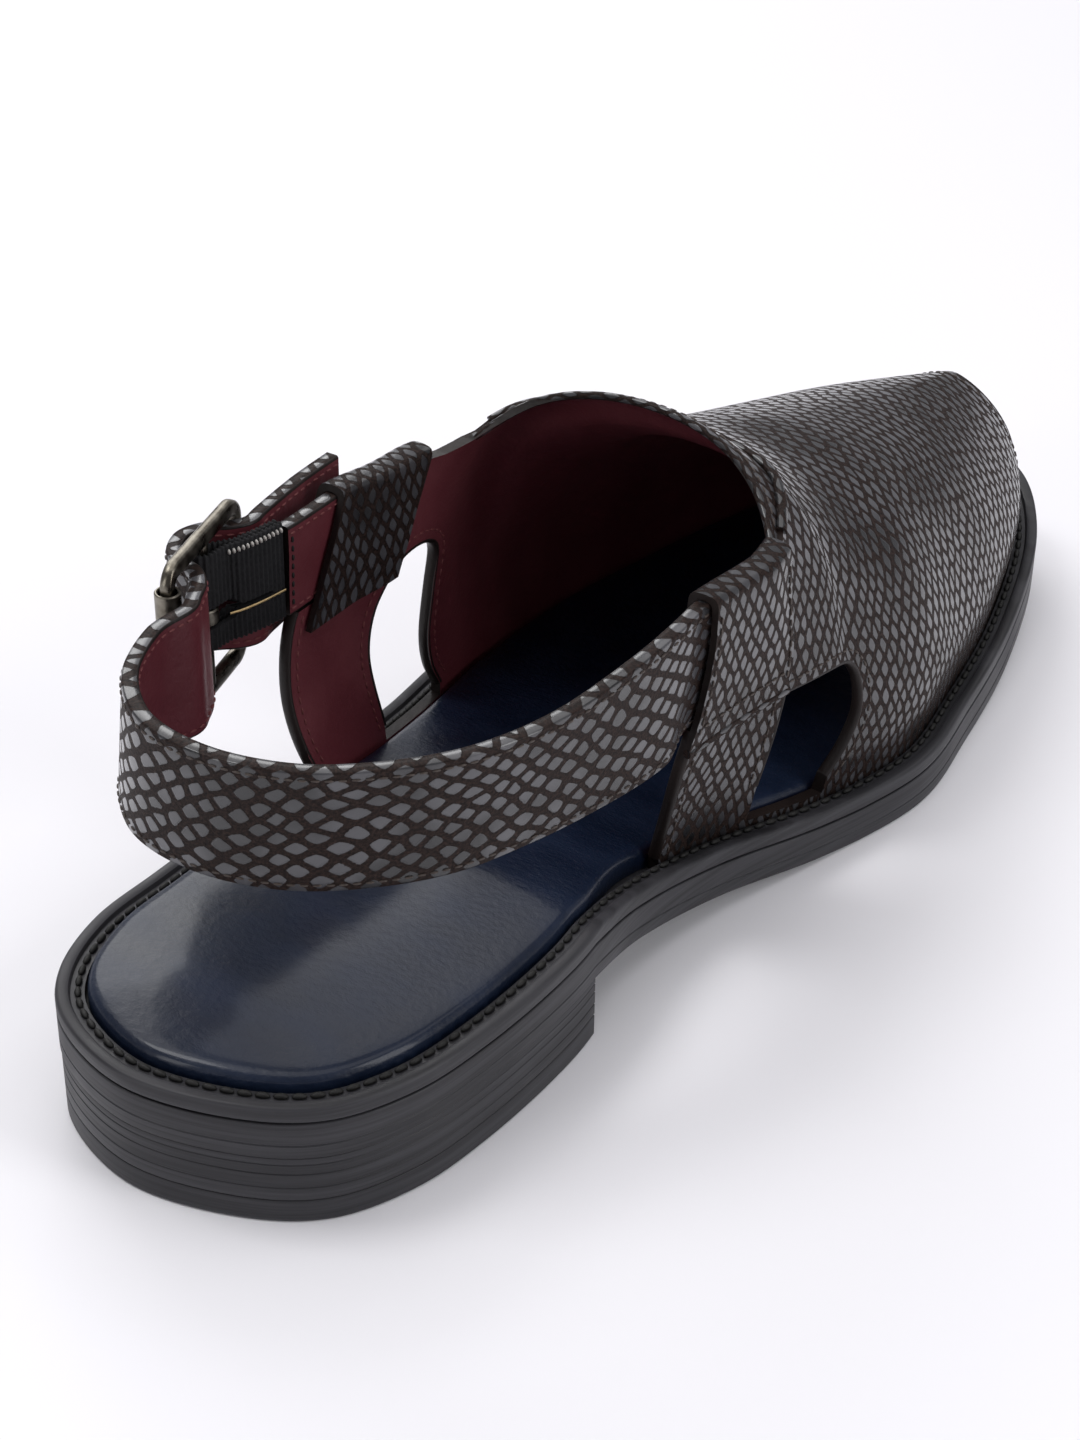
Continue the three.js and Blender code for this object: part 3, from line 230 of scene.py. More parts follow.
def lengths_along(line):
    """Distance from the start at each point of a line."""
    steps = np.linalg.norm(np.diff(line, axis=0), axis=1)
    return np.concatenate([[0], np.cumsum(steps)])


def lengths_across(grid):
    """Distance from the first column at each point of a grid."""
    steps = np.linalg.norm(np.diff(grid, axis=1), axis=2)
    return np.concatenate([np.zeros((len(grid), 1)), np.cumsum(steps, axis=1)], axis=1)


def resampled(line, count):
    """The line as count points at equal steps."""
    walked = lengths_along(line)
    at = np.linspace(0, walked[-1], count)
    return joined(*(np.interp(at, walked, part) for part in line.T))


def spline(points, steps=24):
    """A dense smooth line through the points."""
    points = np.asarray(points, float)
    ends = len(points) - 1
    t = np.linspace(0, 1, steps, endpoint=False)[:, None]
    dense = []
    for i in range(ends):
        p0, p1, p2, p3 = (points[min(max(i + k, 0), ends)] for k in (-1, 0, 1, 2))
        dense.append(cubic(p1, p2, (p2 - p0) / 2, (p3 - p1) / 2, t))
    return np.vstack([*dense, points[-1:]])


def closed_spline(points, count):
    """A closed smooth line through the points, as count points at equal steps."""
    t = np.linspace(0, 1, 40, endpoint=False)[:, None]
    dense = []
    for i in range(len(points)):
        p0, p1, p2, p3 = (points[(i + k) % len(points)] for k in (-1, 0, 1, 2))
        d0, d1, d2 = (np.linalg.norm(step) ** 0.5 for step in (p1 - p0, p2 - p1, p3 - p2))
        leave = ((p1 - p0) / d0 - (p2 - p0) / (d0 + d1) + (p2 - p1) / d1) * d1
        arrive = ((p2 - p1) / d1 - (p3 - p1) / (d1 + d2) + (p3 - p2) / d2) * d1
        dense.append(cubic(p1, p2, leave, arrive, t))
    dense.append(points[:1])
    return resampled(np.vstack(dense), count + 1)[:-1]


# Heights along the shoe


def underside(y):
    """Height of the outsole's underside: heel seat, arch, flat tread and toe spring."""
    y = np.asarray(y, float)
    tread_start = HEEL_LENGTH + ARCH_LENGTH
    tread_end = tread_start + TREAD_LENGTH
    seat = HEEL_HEIGHT + HEEL_PITCH * (HEEL_LENGTH - y) / HEEL_LENGTH
    arch = HEEL_HEIGHT * (np.clip(tread_start - y, 0, None) / ARCH_LENGTH) ** 1.35
    toe = TOE_SPRING * (np.clip(y - tread_end, 0, None) / (OUTSOLE_LENGTH - tread_end)) ** 2
    return np.where(y < HEEL_LENGTH, seat, np.where(y < tread_start, arch, toe))


def raised(height, by):
    """A height along the shoe, moved up."""
    return lambda y: height(y) + by


def level_at(z):
    """The same height all along the shoe."""
    return lambda y: 0 * y + z


outsole_top = raised(underside, OUTSOLE_THICKNESS)
seat_height = raised(outsole_top, GAP)
rim_height = raised(seat_height, WELT_HEIGHT)

# The sole's edge, walked from the heel's back up the inner side
EDGE_SAMPLES = 1600
sole_y = SOLE_PLAN["at"] * OUTSOLE_LENGTH
inner_edge = joined(SOLE_PLAN["inner"] * BALL_WIDTH, sole_y)
outer_edge = joined(-SOLE_PLAN["outer"] * BALL_WIDTH, sole_y)
sole_edge = closed_spline(np.vstack([inner_edge, outer_edge[-2:0:-1]]), EDGE_SAMPLES)


@functools.cache
def inset_edge(inset):
    """The edge moved inwards, as its inner and outer side from back to front."""
    along = unit(np.roll(sole_edge, -1, axis=0) - np.roll(sole_edge, 1, axis=0))
    moved = sole_edge + inset * left_of(along)
    ordered = np.roll(moved, -int(np.argmin(moved[:, 1])), axis=0)
    front = int(np.argmax(ordered[:, 1]))
    return {1: ordered[: front + 1], -1: np.vstack([ordered[front:], ordered[:1]])[::-1]}


def edge_x(side, inset, y):
    """x of an inset edge at y, on one side."""
    line = inset_edge(inset)[side]
    return np.interp(y, np.maximum.accumulate(line[:, 1]), line[:, 0])


def plan_loop(inset, height, heel_only=False, count=150):
    """A closed loop at one inset and height, whose points i and N - i lie at the same y."""
    inner = inset_edge(inset)[1]
    back = inner[0, 1]
    end = HEEL_LENGTH - inset if heel_only else inner[-1, 1]
    turn = math.pi / 2 if heel_only else math.pi
    share = (1 - np.cos(turn * np.arange(count + 1) / count)) / (1 - math.cos(turn))
    y = back + (end - back) * share
    last = count + 1 if heel_only else count
    inner_side, outer_side = (joined(edge_x(side, inset, y), y, height(y)) for side in (1, -1))
    return np.vstack([inner_side, outer_side[1:last][::-1]])


# Meshes


def grid_quads(rows, columns, closed=False, looped=False, start=0):
    """Quads of a grid of points. closed joins its last column to its first, looped its last row."""
    i = np.arange(rows if looped else rows - 1)[:, None]
    j = np.arange(columns if closed else columns - 1)[None, :]
    row = i * columns
    after = (i + 1) % rows * columns
    k = (j + 1) % columns
    corners = np.stack([row + j, row + k, after + k, after + j], axis=-1)
    return (corners.reshape(-1, 4) + start).tolist()


def end_faces(rows, columns):
    """The first and the last row of a grid, each as one face."""
    return [list(range(columns)), list(range((rows - 1) * columns, rows * columns))]


def ladder_faces(n, start):
    """Rungs across a loop whose points i and N - i face each other."""
    faces = [[start, start + 1, start + n - 1]]
    for i in range(1, n // 2):
        rung = dict.fromkeys([i, i + 1, n - i - 1, n - i])
        faces.append([start + k for k in rung])
    return faces


def make_mesh(name, points, faces, finishes, face_finish=None, uv=None, sharp=35):
    """A mesh in the part's frame, smooth but for creases where faces meet at more than sharp
    degrees. uv holds millimetres across and along the leather."""
    mesh = bpy.data.meshes.new(name)
    points = np.asarray(points, float).reshape(-1, 3)
    mesh.from_pydata(((points - FRAME_ORIGIN) / 1000).tolist(), [], faces)
    for finish in finishes:
        mesh.materials.append(finish)
    if face_finish is not None:
        mesh.polygons.foreach_set("material_index", np.asarray(face_finish, np.int32))
    if uv is not None:
        corner = np.zeros(len(mesh.loops), np.int32)
        mesh.loops.foreach_get("vertex_index", corner)
        layer = mesh.uv_layers.new(name="leather")
        layer.data.foreach_set("uv", np.asarray(uv, np.float32).reshape(-1, 2)[corner].ravel())
    form = bmesh.new()
    form.from_mesh(mesh)
    bmesh.ops.remove_doubles(form, verts=form.verts, dist=1e-7)
    bmesh.ops.recalc_face_normals(form, faces=form.faces)
    form.to_mesh(mesh)
    form.free()
    made = bpy.data.objects.new(name, mesh)
    bpy.context.scene.collection.objects.link(made)
    crease(made, sharp)
    return made


def crease(made, sharp):
    made.data.shade_smooth()
    made.data.set_sharp_from_angle(angle=math.radians(sharp))


def cut(made, cutters, sharp=38):
    """Cuts the cutters out of a closed mesh and removes them."""
    for cutter in cutters:
        step = made.modifiers.new("cut", "BOOLEAN")
        step.operation = "DIFFERENCE"
        step.solver = "MANIFOLD"
        step.object = cutter
    bpy.context.view_layer.update()
    graph = bpy.context.evaluated_depsgraph_get()
    shaped = bpy.data.meshes.new_from_object(made.evaluated_get(graph))
    made.modifiers.clear()
    made.data = shaped
    for cutter in cutters:
        bpy.data.objects.remove(cutter)
    crease(made, sharp)


def place(made, stands_for=()):
    """A finished piece: it rides on the body and stands for solids."""
    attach(made, "root")
    if stands_for:
        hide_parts(*stands_for)


def shell(name, outer, inner, finishes, uv):
    """A thin closed piece between two grids of points: outer face, inner face and rim."""
    rows, columns = outer.shape[:2]
    count = rows * columns
    faces = grid_quads(rows, columns) + grid_quads(rows, columns, start=count)
    kinds = [0] * (len(faces) // 2) + [1] * (len(faces) // 2)
    index = np.arange(count).reshape(rows, columns)
    rim = np.concatenate([index[0, :-1], index[:-1, -1], index[-1, :0:-1], index[:0:-1, 0]])
    faces += joined(rim, np.roll(rim, -1), np.roll(rim, -1) + count, rim + count).tolist()
    kinds += [2] * len(rim)
    return make_mesh(name, [outer, inner], faces, finishes, kinds, [uv, uv])


def swept(line, section):
    """A section of (across, up) points carried along a line, one for all or one for each point."""
    tangent = directions(line)
    across = unit(np.cross(tangent, (0, 0, 1)))
    rise = np.cross(across, tangent)
    return line[:, None] + section[..., :1] * across[:, None] + section[..., 1:] * rise[:, None]


def bar(name, sections, finishes, kinds=None, uv=None, sharp=35):
    """A bar through closed sections, with both ends closed. kinds has a finish for each step round."""
    rows, columns = sections.shape[:2]
    faces = grid_quads(rows, columns, closed=True) + end_faces(rows, columns)
    around = kinds or [0] * columns
    face_finish = around * (rows - 1) + [len(finishes) - 1] * 2
    return make_mesh(name, sections, faces, finishes, face_finish, uv, sharp)


def circle(count, radius=1.0):
    angle = 2 * math.pi * np.arange(count) / count
    return radius * joined(np.cos(angle), np.sin(angle))


# Materials


class Look:
    """A material with one principled surface and the nodes behind it."""

    def __init__(self, name, values):
        self.material = bpy.data.materials.new(name)
        self.material.use_nodes = True
        self.tree = self.material.node_tree
        self.tree.nodes.clear()
        self.relief = None
        self.surface = self.node("BsdfPrincipled", values)
        self.node("OutputMaterial", {"Surface": self.surface.outputs["BSDF"]})

    def fill(self, made, sockets):
        """Gives a node's sockets values or links."""
        for socket, value in sockets.items():
            if isinstance(value, bpy.types.NodeSocket):
                self.tree.links.new(value, made.inputs[socket])
            else:
                made.inputs[socket].default_value = value

    def node(self, kind, sockets=None, **settings):
        made = self.tree.nodes.new("ShaderNode" + kind)
        for key, value in settings.items():
            setattr(made, key, value)
        self.fill(made, sockets or {})
        return made

    def where(self):
        return self.node("TexCoord").outputs["Object"]

    def stretched(self, where, scale, rotation=(0, 0, 0)):
        return self.node("Mapping", {"Vector": where, "Rotation": rotation, "Scale": scale}).outputs[0]

    def math(self, operation, a, b=0.0):
        return self.node("Math", {0: a, 1: b}, operation=operation).outputs[0]

    def ramp(self, value, low, high, start=0.0, end=1.0):
        """Smooth step of a value from start to end."""
        sockets = {"Value": value, "From Min": low, "From Max": high, "To Min": start, "To Max": end}
        return self.node("MapRange", sockets, interpolation_type="SMOOTHSTEP").outputs[0]

    def mixed(self, share, first, second):
        """Two colours mixed by a share."""
        return self.node("Mix", {0: share, 6: first, 7: second}, data_type="RGBA").outputs[2]

    def noise(self, where, scale, detail=3.0, roughness=0.5, output="Fac"):
        sockets = {"Vector": where, "Scale": scale, "Detail": detail, "Roughness": roughness}
        return self.node("TexNoise", sockets).outputs[output]

    def bump(self, height, distance, strength=1.0):
        """Relief on top of the relief that is there."""
        sockets = {"Height": height, "Distance": distance, "Strength": strength}
        if self.relief is not None:
            sockets["Normal"] = self.relief
        self.relief = self.node("Bump", sockets).outputs[0]
        self.fill(self.surface, {"Normal": self.relief})


# How far, in millimetres, the rows of scales wander
SCALE_DRIFT = 7.2


def snake_leather(name, long_half, short_half):
    """Embossed snake leather: glossy flat scales in a diamond lattice on a dull brown ground, lightened
    and darkened in broad patches of painted highlight and shade.
    """
    look = Look(name, {"Specular IOR Level": 0.12, "Coat Roughness": 0.2})
    uv = look.node("UVMap", uv_map="leather").outputs[0]
    drift = look.noise(uv, 0.035, 1.0, output="Color")
    centred = look.node("VectorMath", {0: drift, 1: (0.5,) * 3}, operation="SUBTRACT").outputs[0]
    sockets = {0: centred, 1: (SCALE_DRIFT,) * 3, 2: uv}
    moved = look.node("VectorMath", sockets, operation="MULTIPLY_ADD").outputs[0]
    diagonal = math.sqrt(0.5)
    cells = (diagonal / long_half, diagonal / short_half, 1)
    lattice = look.stretched(moved, cells, (0, 0, math.pi / 4))
    cell = {"Vector": lattice, "Scale": 1.0, "Randomness": 0.3}
    gap = look.node("TexVoronoi", cell, voronoi_dimensions="2D", feature="DISTANCE_TO_EDGE")
    nearest = look.node("TexVoronoi", cell, voronoi_dimensions="2D", feature="F1")
    corner = look.math("MAXIMUM", look.math("SUBTRACT", nearest.outputs["Distance"], 0.36), 0.0)
    rounded = look.math("SUBTRACT", gap.outputs["Distance"], look.math("MULTIPLY", corner, 0.75))
    fibre = look.noise(uv, 1.6, 5.0, 0.65)
    ragged = look.math("MULTIPLY", look.math("SUBTRACT", fibre, 0.5), 0.12)
    outline = look.math("ADD", rounded, ragged)
    scale = look.ramp(outline, 0.135, 0.185)
    tone = look.node("SeparateColor", {"Color": nearest.outputs["Color"]}).outputs[0]
    # Broad patches that lighten and darken the scales are painted highlight and shade; each cell's own
    # tone adds to them.
    patches = look.ramp(look.noise(uv, 0.045, 2.0), 0.4, 0.6, 0.0, 0.78)
    tone_and_painted_light = look.math("ADD", patches, look.math("MULTIPLY", tone, 0.42))
    plate = look.mixed(tone_and_painted_light, (0.006, 0.0058, 0.0066, 1), (0.07, 0.069, 0.076, 1))
    brown = look.ramp(fibre, 0.35, 0.7)
    ground = look.mixed(brown, (0.0075, 0.0045, 0.004, 1), (0.032, 0.0185, 0.015, 1))
    finish = {
        "Base Color": look.mixed(scale, ground, plate),
        "Coat Weight": look.ramp(scale, 0.0, 1.0, 0.08, 1.0),
        "Roughness": look.ramp(scale, 0.0, 1.0, 0.7, 0.4),
    }
    look.fill(look.surface, finish)
    wrinkles = look.math("MULTIPLY", fibre, look.ramp(scale, 0.0, 1.0, 0.55, 0.06))
    look.bump(look.math("ADD", look.ramp(outline, 0.07, 0.25), wrinkles), 0.0004)
    return look.material


def grained_leather(name, colour, light, roughness):
    """Smooth leather with a fine grain, long soft creases and a slightly uneven colour."""
    look = Look(name, {"Specular IOR Level": 0.24})
    where = look.where()
    cloud = look.noise(where, 60.0, 4.0)
    finish = {
        "Base Color": look.mixed(look.ramp(cloud, 0.35, 0.75, 0.0, 0.3), colour, light),
        "Roughness": look.ramp(cloud, 0.3, 0.8, roughness - 0.06, roughness + 0.1),
    }
    look.fill(look.surface, finish)
    look.bump(look.noise(where, 160.0, 2.0, 0.4), 0.0006, 0.35)
    look.bump(look.noise(where, 900.0, 4.0, 0.6), 0.00012, 0.8)
    return look.material


def sole_edge_finish():
    """Dark satin sole edge with fine level lines."""
    look = Look("sole_edge", {"Specular IOR Level": 0.24})
    where = look.where()
    lines = look.noise(look.stretched(where, (18, 18, 900)), 1.0, 3.0, 0.6)
    colours = (0.024, 0.0234, 0.0262, 1), (0.044, 0.0432, 0.0485, 1)
    finish = {
        "Base Color": look.mixed(look.ramp(lines, 0.35, 0.7), *colours),
        "Roughness": look.ramp(look.noise(where, 45.0), 0.3, 0.7, 0.36, 0.5),
    }
    look.fill(look.surface, finish)
    look.bump(lines, 0.00012, 0.7)
    return look.material


def insole_leather():
    """Padded glossy navy leather with fine wrinkles across the foot."""
    values = {"Specular IOR Level": 0.18, "Coat Weight": 0.3, "Coat Roughness": 0.14}
    look = Look("navy_leather", values)
    across = look.stretched(look.where(), (0.7, 1.0, 1.0))
    wave = look.noise(across, 75.0)
    colours = (0.0045, 0.0085, 0.021, 1), (0.008, 0.0145, 0.034, 1)
    finish = {
        "Base Color": look.mixed(look.ramp(wave, 0.3, 0.75), *colours),
        "Roughness": look.ramp(wave, 0.3, 0.7, 0.32, 0.44),
    }
    look.fill(look.surface, finish)
    look.bump(wave, 0.0012, 0.2)
    look.bump(look.noise(across, 620.0, 5.0, 0.62), 0.0003)
    return look.material


def gunmetal():
    """Antique gunmetal with worn, brighter patches."""
    look = Look("gunmetal", {"Metallic": 1.0, "Roughness": 0.3})
    cloud = look.noise(look.where(), 320.0, 4.0)
    colours = (0.1, 0.088, 0.07, 1), (0.26, 0.24, 0.2, 1)
    finish = {
        "Base Color": look.mixed(look.ramp(cloud, 0.35, 0.7), *colours),
        "Roughness": look.ramp(cloud, 0.3, 0.7, 0.24, 0.42),
    }
    look.fill(look.surface, finish)
    look.bump(cloud, 0.00008, 0.6)
    return look.material


def speckled(name, values, dark, light, scale, detail, distance, strength=0.8):
    """A finish whose colour and relief follow one noise."""
    look = Look(name, values)
    speck = look.noise(look.where(), scale, detail)
    look.fill(look.surface, {"Base Color": look.mixed(speck, dark, light)})
    look.bump(speck, distance, strength)
    return look.material


def thread(name, dark, light, roughness=0.6):
    """Twisted sewing thread."""
    values = {"Roughness": roughness, "Specular IOR Level": 0.3}
    return speckled(name, values, (*dark, 1), (*light, 1), 1800.0, 2.0, 0.0001)


SNAKE = snake_leather("snake_vamp", 3.0, 1.75)
SNAKE_STRAP = snake_leather("snake_strap", 3.05, 2.4)
LINING = grained_leather("burgundy_lining", (0.1, 0.021, 0.0275, 1), (0.2, 0.055, 0.065, 1), 0.42)
EDGE = grained_leather("painted_edge", (0.009, 0.0065, 0.006, 1), (0.035, 0.022, 0.018, 1), 0.4)
SOLE = sole_edge_finish()
INSOLE = insole_leather()
WEBBING = {"Roughness": 0.8, "Specular IOR Level": 0.25}
WEBBING_COLOURS = (0.004, 0.004, 0.005, 1), (0.02, 0.02, 0.022, 1)
ELASTIC = speckled("black_webbing", WEBBING, *WEBBING_COLOURS, 1500.0, 2.0, 0.0002)
METAL = gunmetal()
WORN_BRASS = {"Metallic": 1.0, "Roughness": 0.32}
BRASS_COLOURS = (0.3, 0.2, 0.09, 1), (0.62, 0.48, 0.26, 1)
BRASS = speckled("brass_wire", WORN_BRASS, *BRASS_COLOURS, 700.0, 3.0, 0.00004, 0.5)
BLACK_THREAD = thread("black_thread", (0.005, 0.005, 0.005), (0.019, 0.018, 0.017))
BROWN_THREAD = thread("brown_thread", (0.02, 0.014, 0.012), (0.09, 0.07, 0.06), 0.45)
RED_THREAD = thread("burgundy_thread", (0.09, 0.018, 0.022), (0.2, 0.06, 0.06))
# Thread for the elastic's edge stitches, coloured pale as a painted highlight where the stitched edge
# catches light
THREAD_WITH_PAINTED_HIGHLIGHT = thread("thread_with_painted_highlight", (0.3, 0.28, 0.26), (0.6, 0.58, 0.55))
LEATHERS = [SNAKE, LINING, EDGE]
STRAP_LEATHERS = [SNAKE_STRAP, LINING, EDGE]

# Stitches: length, width, pitch and lift in millimetres
STITCH = {
    "welt": (2.7, 1.25, 3.1, 0.1),
    "wall": (1.5, 0.5, 2.2, 0.05),
    "band": (1.6, 0.5, 2.3, 0.05),
    "sleeve": (1.5, 0.5, 2.1, 0.1),
    "tab": (1.4, 0.5, 2.0, 0.05),
    "tab_end": (1.3, 0.6, 1.9, 0.08),
    "elastic": (0.5, 1.1, 0.95, 0.0),
}
# Girth of a stitch at places from one end to the other
STITCH_FORM = [(-1, 0.05), (-0.8, 0.72), (-0.3, 1), (0.3, 1), (0.8, 0.72), (1, 0.05)]


def stitches(name, line, up, colour, kind):
    """A row of stitches along a line: low rounded beads lying on the surface."""
    length, width, pitch, lift = STITCH[kind]
    count = max(2, int(lengths_along(line)[-1] / pitch))
    both = resampled(np.hstack([line, np.broadcast_to(up, line.shape)]), count * 2 + 1)
    along = unit(both[2::2, :3] - both[:-2:2, :3])
    rise = both[1::2, 3:]
    rise = unit(rise - along * np.sum(rise * along, axis=1)[:, None])
    basis = np.stack([along, np.cross(along, rise), rise], axis=1)
    ring = circle(6, width / 2)
    bead = [(at * length / 2, wide * a, wide * b + lift) for at, wide in STITCH_FORM for a, b in ring]
    points = both[1::2, None, :3] + np.array(bead) @ basis
    form = grid_quads(len(STITCH_FORM), len(ring), closed=True)
    form += end_faces(len(STITCH_FORM), len(ring))
    faces = [[k + m * len(bead) for k in face] for m in range(count) for face in form]
    place(make_mesh(name, points, faces, [colour], sharp=70))


# Sole

ROUNDING = [(1.0, 0.0), (0.62, 0.08), (0.29, 0.29), (0.08, 0.62), (0.0, 1.0)]
GROOVE = [(-0.5, 0), (-0.3, 0.7), (0, 1), (0.3, 0.7), (0.5, 0)]
EDGE_EASE = 0.3
HEEL_INSET = 0.2
JOINT_LINE = 0.05
LAYER_JOINTS = (0.3, 0.62, 0.84)
LAYER_GROOVE = (0.4, 0.16)
SIDE_LINE_DROP = 0.62
SIDE_GROOVE = (0.5, 0.22)


def corner(height, inset, radius, way):
    """Levels of a rounded corner above a plate's low face (way 1) or below its top face (way -1)."""
    return [(inset + radius * a, raised(height, way * radius * b)) for a, b in ROUNDING[::way]]


def groove(height, inset, width, depth):
    """Levels of a shallow groove round a side at a height."""
    return [(inset + depth * d, raised(height, width * s)) for s, d in GROOVE]


def sole_plate(name, low, high, inset, middle, node_name, **shape):
    """A plate of the sole with rounded corners. middle holds the levels between them."""
    levels = corner(low, inset, EDGE_EASE, 1) + middle + corner(high, inset, EDGE_EASE, -1)
    loops = [plan_loop(*level, **shape) for level in levels]
    n = len(loops[0])
    top = (len(loops) - 1) * n
    faces = ladder_faces(n, 0) + grid_quads(len(loops), n, closed=True) + ladder_faces(n, top)
    place(make_mesh(name, loops, faces, [SOLE]), [node_name])


def make_sole():
    line = groove(raised(outsole_top, -SIDE_LINE_DROP * OUTSOLE_THICKNESS), 0, *SIDE_GROOVE)
    sole_plate("outsole_plate", underside, outsole_top, 0, line, "outsole")
    heel = {"heel_only": True, "count": 90}
    lift = level_at(TOP_PIECE_THICKNESS)
    sole_plate("heel_tip", level_at(0), lift, HEEL_INSET, [], "heel_top_piece", **heel)
    low = raised(lift, JOINT_LINE)
    high = raised(underside, -JOINT_LINE)
    joints = []
    for share in LAYER_JOINTS:

        def joint(y, share=share):
            return low(y) + share * (high(y) - low(y))

        joints += groove(joint, HEEL_INSET, *LAYER_GROOVE)
    sole_plate("heel_stack", low, high, HEEL_INSET, joints, "heel_block", **heel)


WELT_ROUNDING = {"low": 0.6, "top": 0.8}
# Inner flank of the rim: steps inwards from its width, and down from its height
WELT_RIM_FLANK = [(-0.6, 0), (-0.15, -0.2), (0.2, -WELT_CHANNEL_DEPTH)]
WELT_SEAM_COUNT = 220
THREAD_LIFT = 0.2


def make_welt():
    channel = raised(rim_height, -WELT_CHANNEL_DEPTH)
    inner = FEATHER_INSET - GAP
    levels = corner(seat_height, 0, WELT_ROUNDING["low"], 1)
    levels += corner(rim_height, 0, WELT_ROUNDING["top"], -1)
    levels += [(WELT_RIM_WIDTH + inset, raised(rim_height, rise)) for inset, rise in WELT_RIM_FLANK]
    levels += [(inner, channel), (inner, seat_height)]
    loops = [plan_loop(*level) for level in levels]
    faces = grid_quads(len(loops), len(loops[0]), closed=True, looped=True)
    place(make_mesh("welt_strip", loops, faces, [SOLE]), ["welt"])
    middle = (WELT_RIM_WIDTH + inner) / 2 + WELT_RIM_FLANK[-1][0]
    seam = plan_loop(middle, raised(channel, THREAD_LIFT), count=WELT_SEAM_COUNT)
    stitches("welt_stitches", np.vstack([seam, seam[:1]]), (0, 0, 1), BLACK_THREAD, "welt")


# The insole's rolled edge: how far in, and how high as a share of the full height at its crest
INSOLE_EDGE = [(0, 0.0), (0, 0.62), (0.15, 0.78), (0.5, 0.9), (1.2, 1.0), (2.4, 1.05), (4, 1.08), (6, 1.1)]
INSOLE_STATIONS = 170
INSOLE_COLUMNS = 15
INSOLE_CROWN = 0.7
INSOLE_CROWN_ENDS = 28


def make_insole():
    count = INSOLE_STATIONS
    full = WELT_HEIGHT + INSOLE_RISE / INSOLE_EDGE[-1][1]
    beside_wall = FEATHER_INSET + UPPER_WALL + 2 * GAP
    beside_welt = FEATHER_INSET + GAP
    loops = []
    for step, share in INSOLE_EDGE:
        height = raised(seat_height, share * full)
        wide = plan_loop(beside_welt + step, height, count=count)
        narrow = plan_loop(beside_wall + step, height, count=count)
        start = np.where(np.arange(len(wide)) <= count, SIDE_CUT[1][0, 0], SIDE_CUT[-1][0, 0])
        blend = smoothstep(wide[:, 1] - start + INSOLE_LEAD, -INSOLE_TAPER, 0)[:, None]
        loops.append(wide * (1 - blend) + narrow * blend)
    sides = np.vstack(loops)
    rim = loops[-1]
    across = np.linspace(0, 1, INSOLE_COLUMNS)
    share = across[None, :, None]
    rungs = rim[1:count, None] * (1 - share) + rim[:count:-1, None] * share
    station = np.arange(1, count)
    ends = smoothstep(np.minimum(station, count - station), 0, INSOLE_CROWN_ENDS)
    rungs[..., 2] += INSOLE_CROWN * np.sin(np.pi * across) ** 0.8 * ends[:, None]
    n = len(rim)
    back = len(sides) - n
    front = back + count
    first = len(sides)
    last = first + (count - 2) * INSOLE_COLUMNS
    faces = ladder_faces(n, 0) + grid_quads(len(loops), n, closed=True)
    faces += grid_quads(count - 1, INSOLE_COLUMNS, start=first)
    faces += [[back, first + j, first + j + 1] for j in range(INSOLE_COLUMNS - 1)]
    faces += [[front, last + j + 1, last + j] for j in range(INSOLE_COLUMNS - 1)]
    points = np.vstack([sides, rungs.reshape(-1, 3)])
    made = make_mesh("padded_insole", points, faces, [INSOLE], sharp=60)
    place(made, ["insole"])


# Upper

FLARE_EASE = 1.4
FIRST_SECTION = 0.25
LAST_SECTION = 0.968
UPPER_STATIONS = 150
ARCH_SAMPLES = 400


def section_side(side, y, count=90):
    """Outer face of one side at stations y, from the seat to the crown: rows of x and z."""
    y = np.atleast_1d(np.asarray(y, float))

    def size(key, scale=1):
        return (column(SECTIONS, key, y / OUTSOLE_LENGTH) * scale)[:, None]

    crown_x = size("lean", BALL_WIDTH)
    base = edge_x(side, FEATHER_INSET, y)[:, None]
    rim = rim_height(y)[:, None]
    angle = (math.pi / 2 * np.linspace(0, 1, ARCH_SAMPLES) ** 2)[None, :]
    up = (size("crown", INSTEP_HEIGHT) - rim) * np.sin(angle) ** size("wall")
    climbed = np.minimum(up / size(SIDES[side] + "_rise", INSTEP_HEIGHT), 1)
    flare = size(SIDES[side] + "_flare", BALL_WIDTH) * (1 - (1 - climbed) ** FLARE_EASE)
    level = np.clip(np.cos(angle), 0, 1) ** size(SIDES[side] + "_bend")
    level[:, -1] = 0
    arches = joined(crown_x + side * (np.abs(base - crown_x) + flare) * level, rim + up)
    rows = []
    for arch, seat in zip(arches, seat_height(y)):
        line = resampled(arch, count)
        rows.append(np.vstack([[line[0, 0], seat], line]))
    return np.array(rows)


def grid_normals(grid):
    around = np.gradient(grid, axis=1)
    around[:, 0] = (0, 0, 1)
    around[:, -1] = (0, 0, -1)
    return unit(np.cross(np.gradient(grid, axis=0), around))


def girth_uv(grid):
    """Millimetres round the shoe from the crown, and along it."""
    walked = lengths_across(grid)
    middle = grid.shape[1] // 2
    return joined(walked - walked[:, middle : middle + 1], lengths_along(grid[:, middle])[:, None])


upper_y = np.linspace(FIRST_SECTION, LAST_SECTION, UPPER_STATIONS) * OUTSOLE_LENGTH
girth = np.concatenate([section_side(1, upper_y), section_side(-1, upper_y)[:, -2::-1]], axis=1)
upper_grid = joined(girth[..., 0], upper_y[:, None], girth[..., 1])
upper_normals = grid_normals(upper_grid)


def outer_face_x(side, y, z):
    """x of the upper's outer face at y and z."""
    rows = section_side(side, y, 120)
    heights = np.broadcast_to(z, len(rows))
    return np.array([np.interp(h, row[:, 1], row[:, 0]) for row, h in zip(rows, heights)])


def wall_centre_x(side, y, z):
    return outer_face_x(side, y, z) - side * UPPER_WALL / 2


CUT_REACH = 90
WINDOW_REACH = 10
RIM_MARGIN = 0.5


def prism_faces(n):
    """Faces of a prism between two outlines of n points."""
    return end_faces(2, n) + grid_quads(2, n, closed=True)


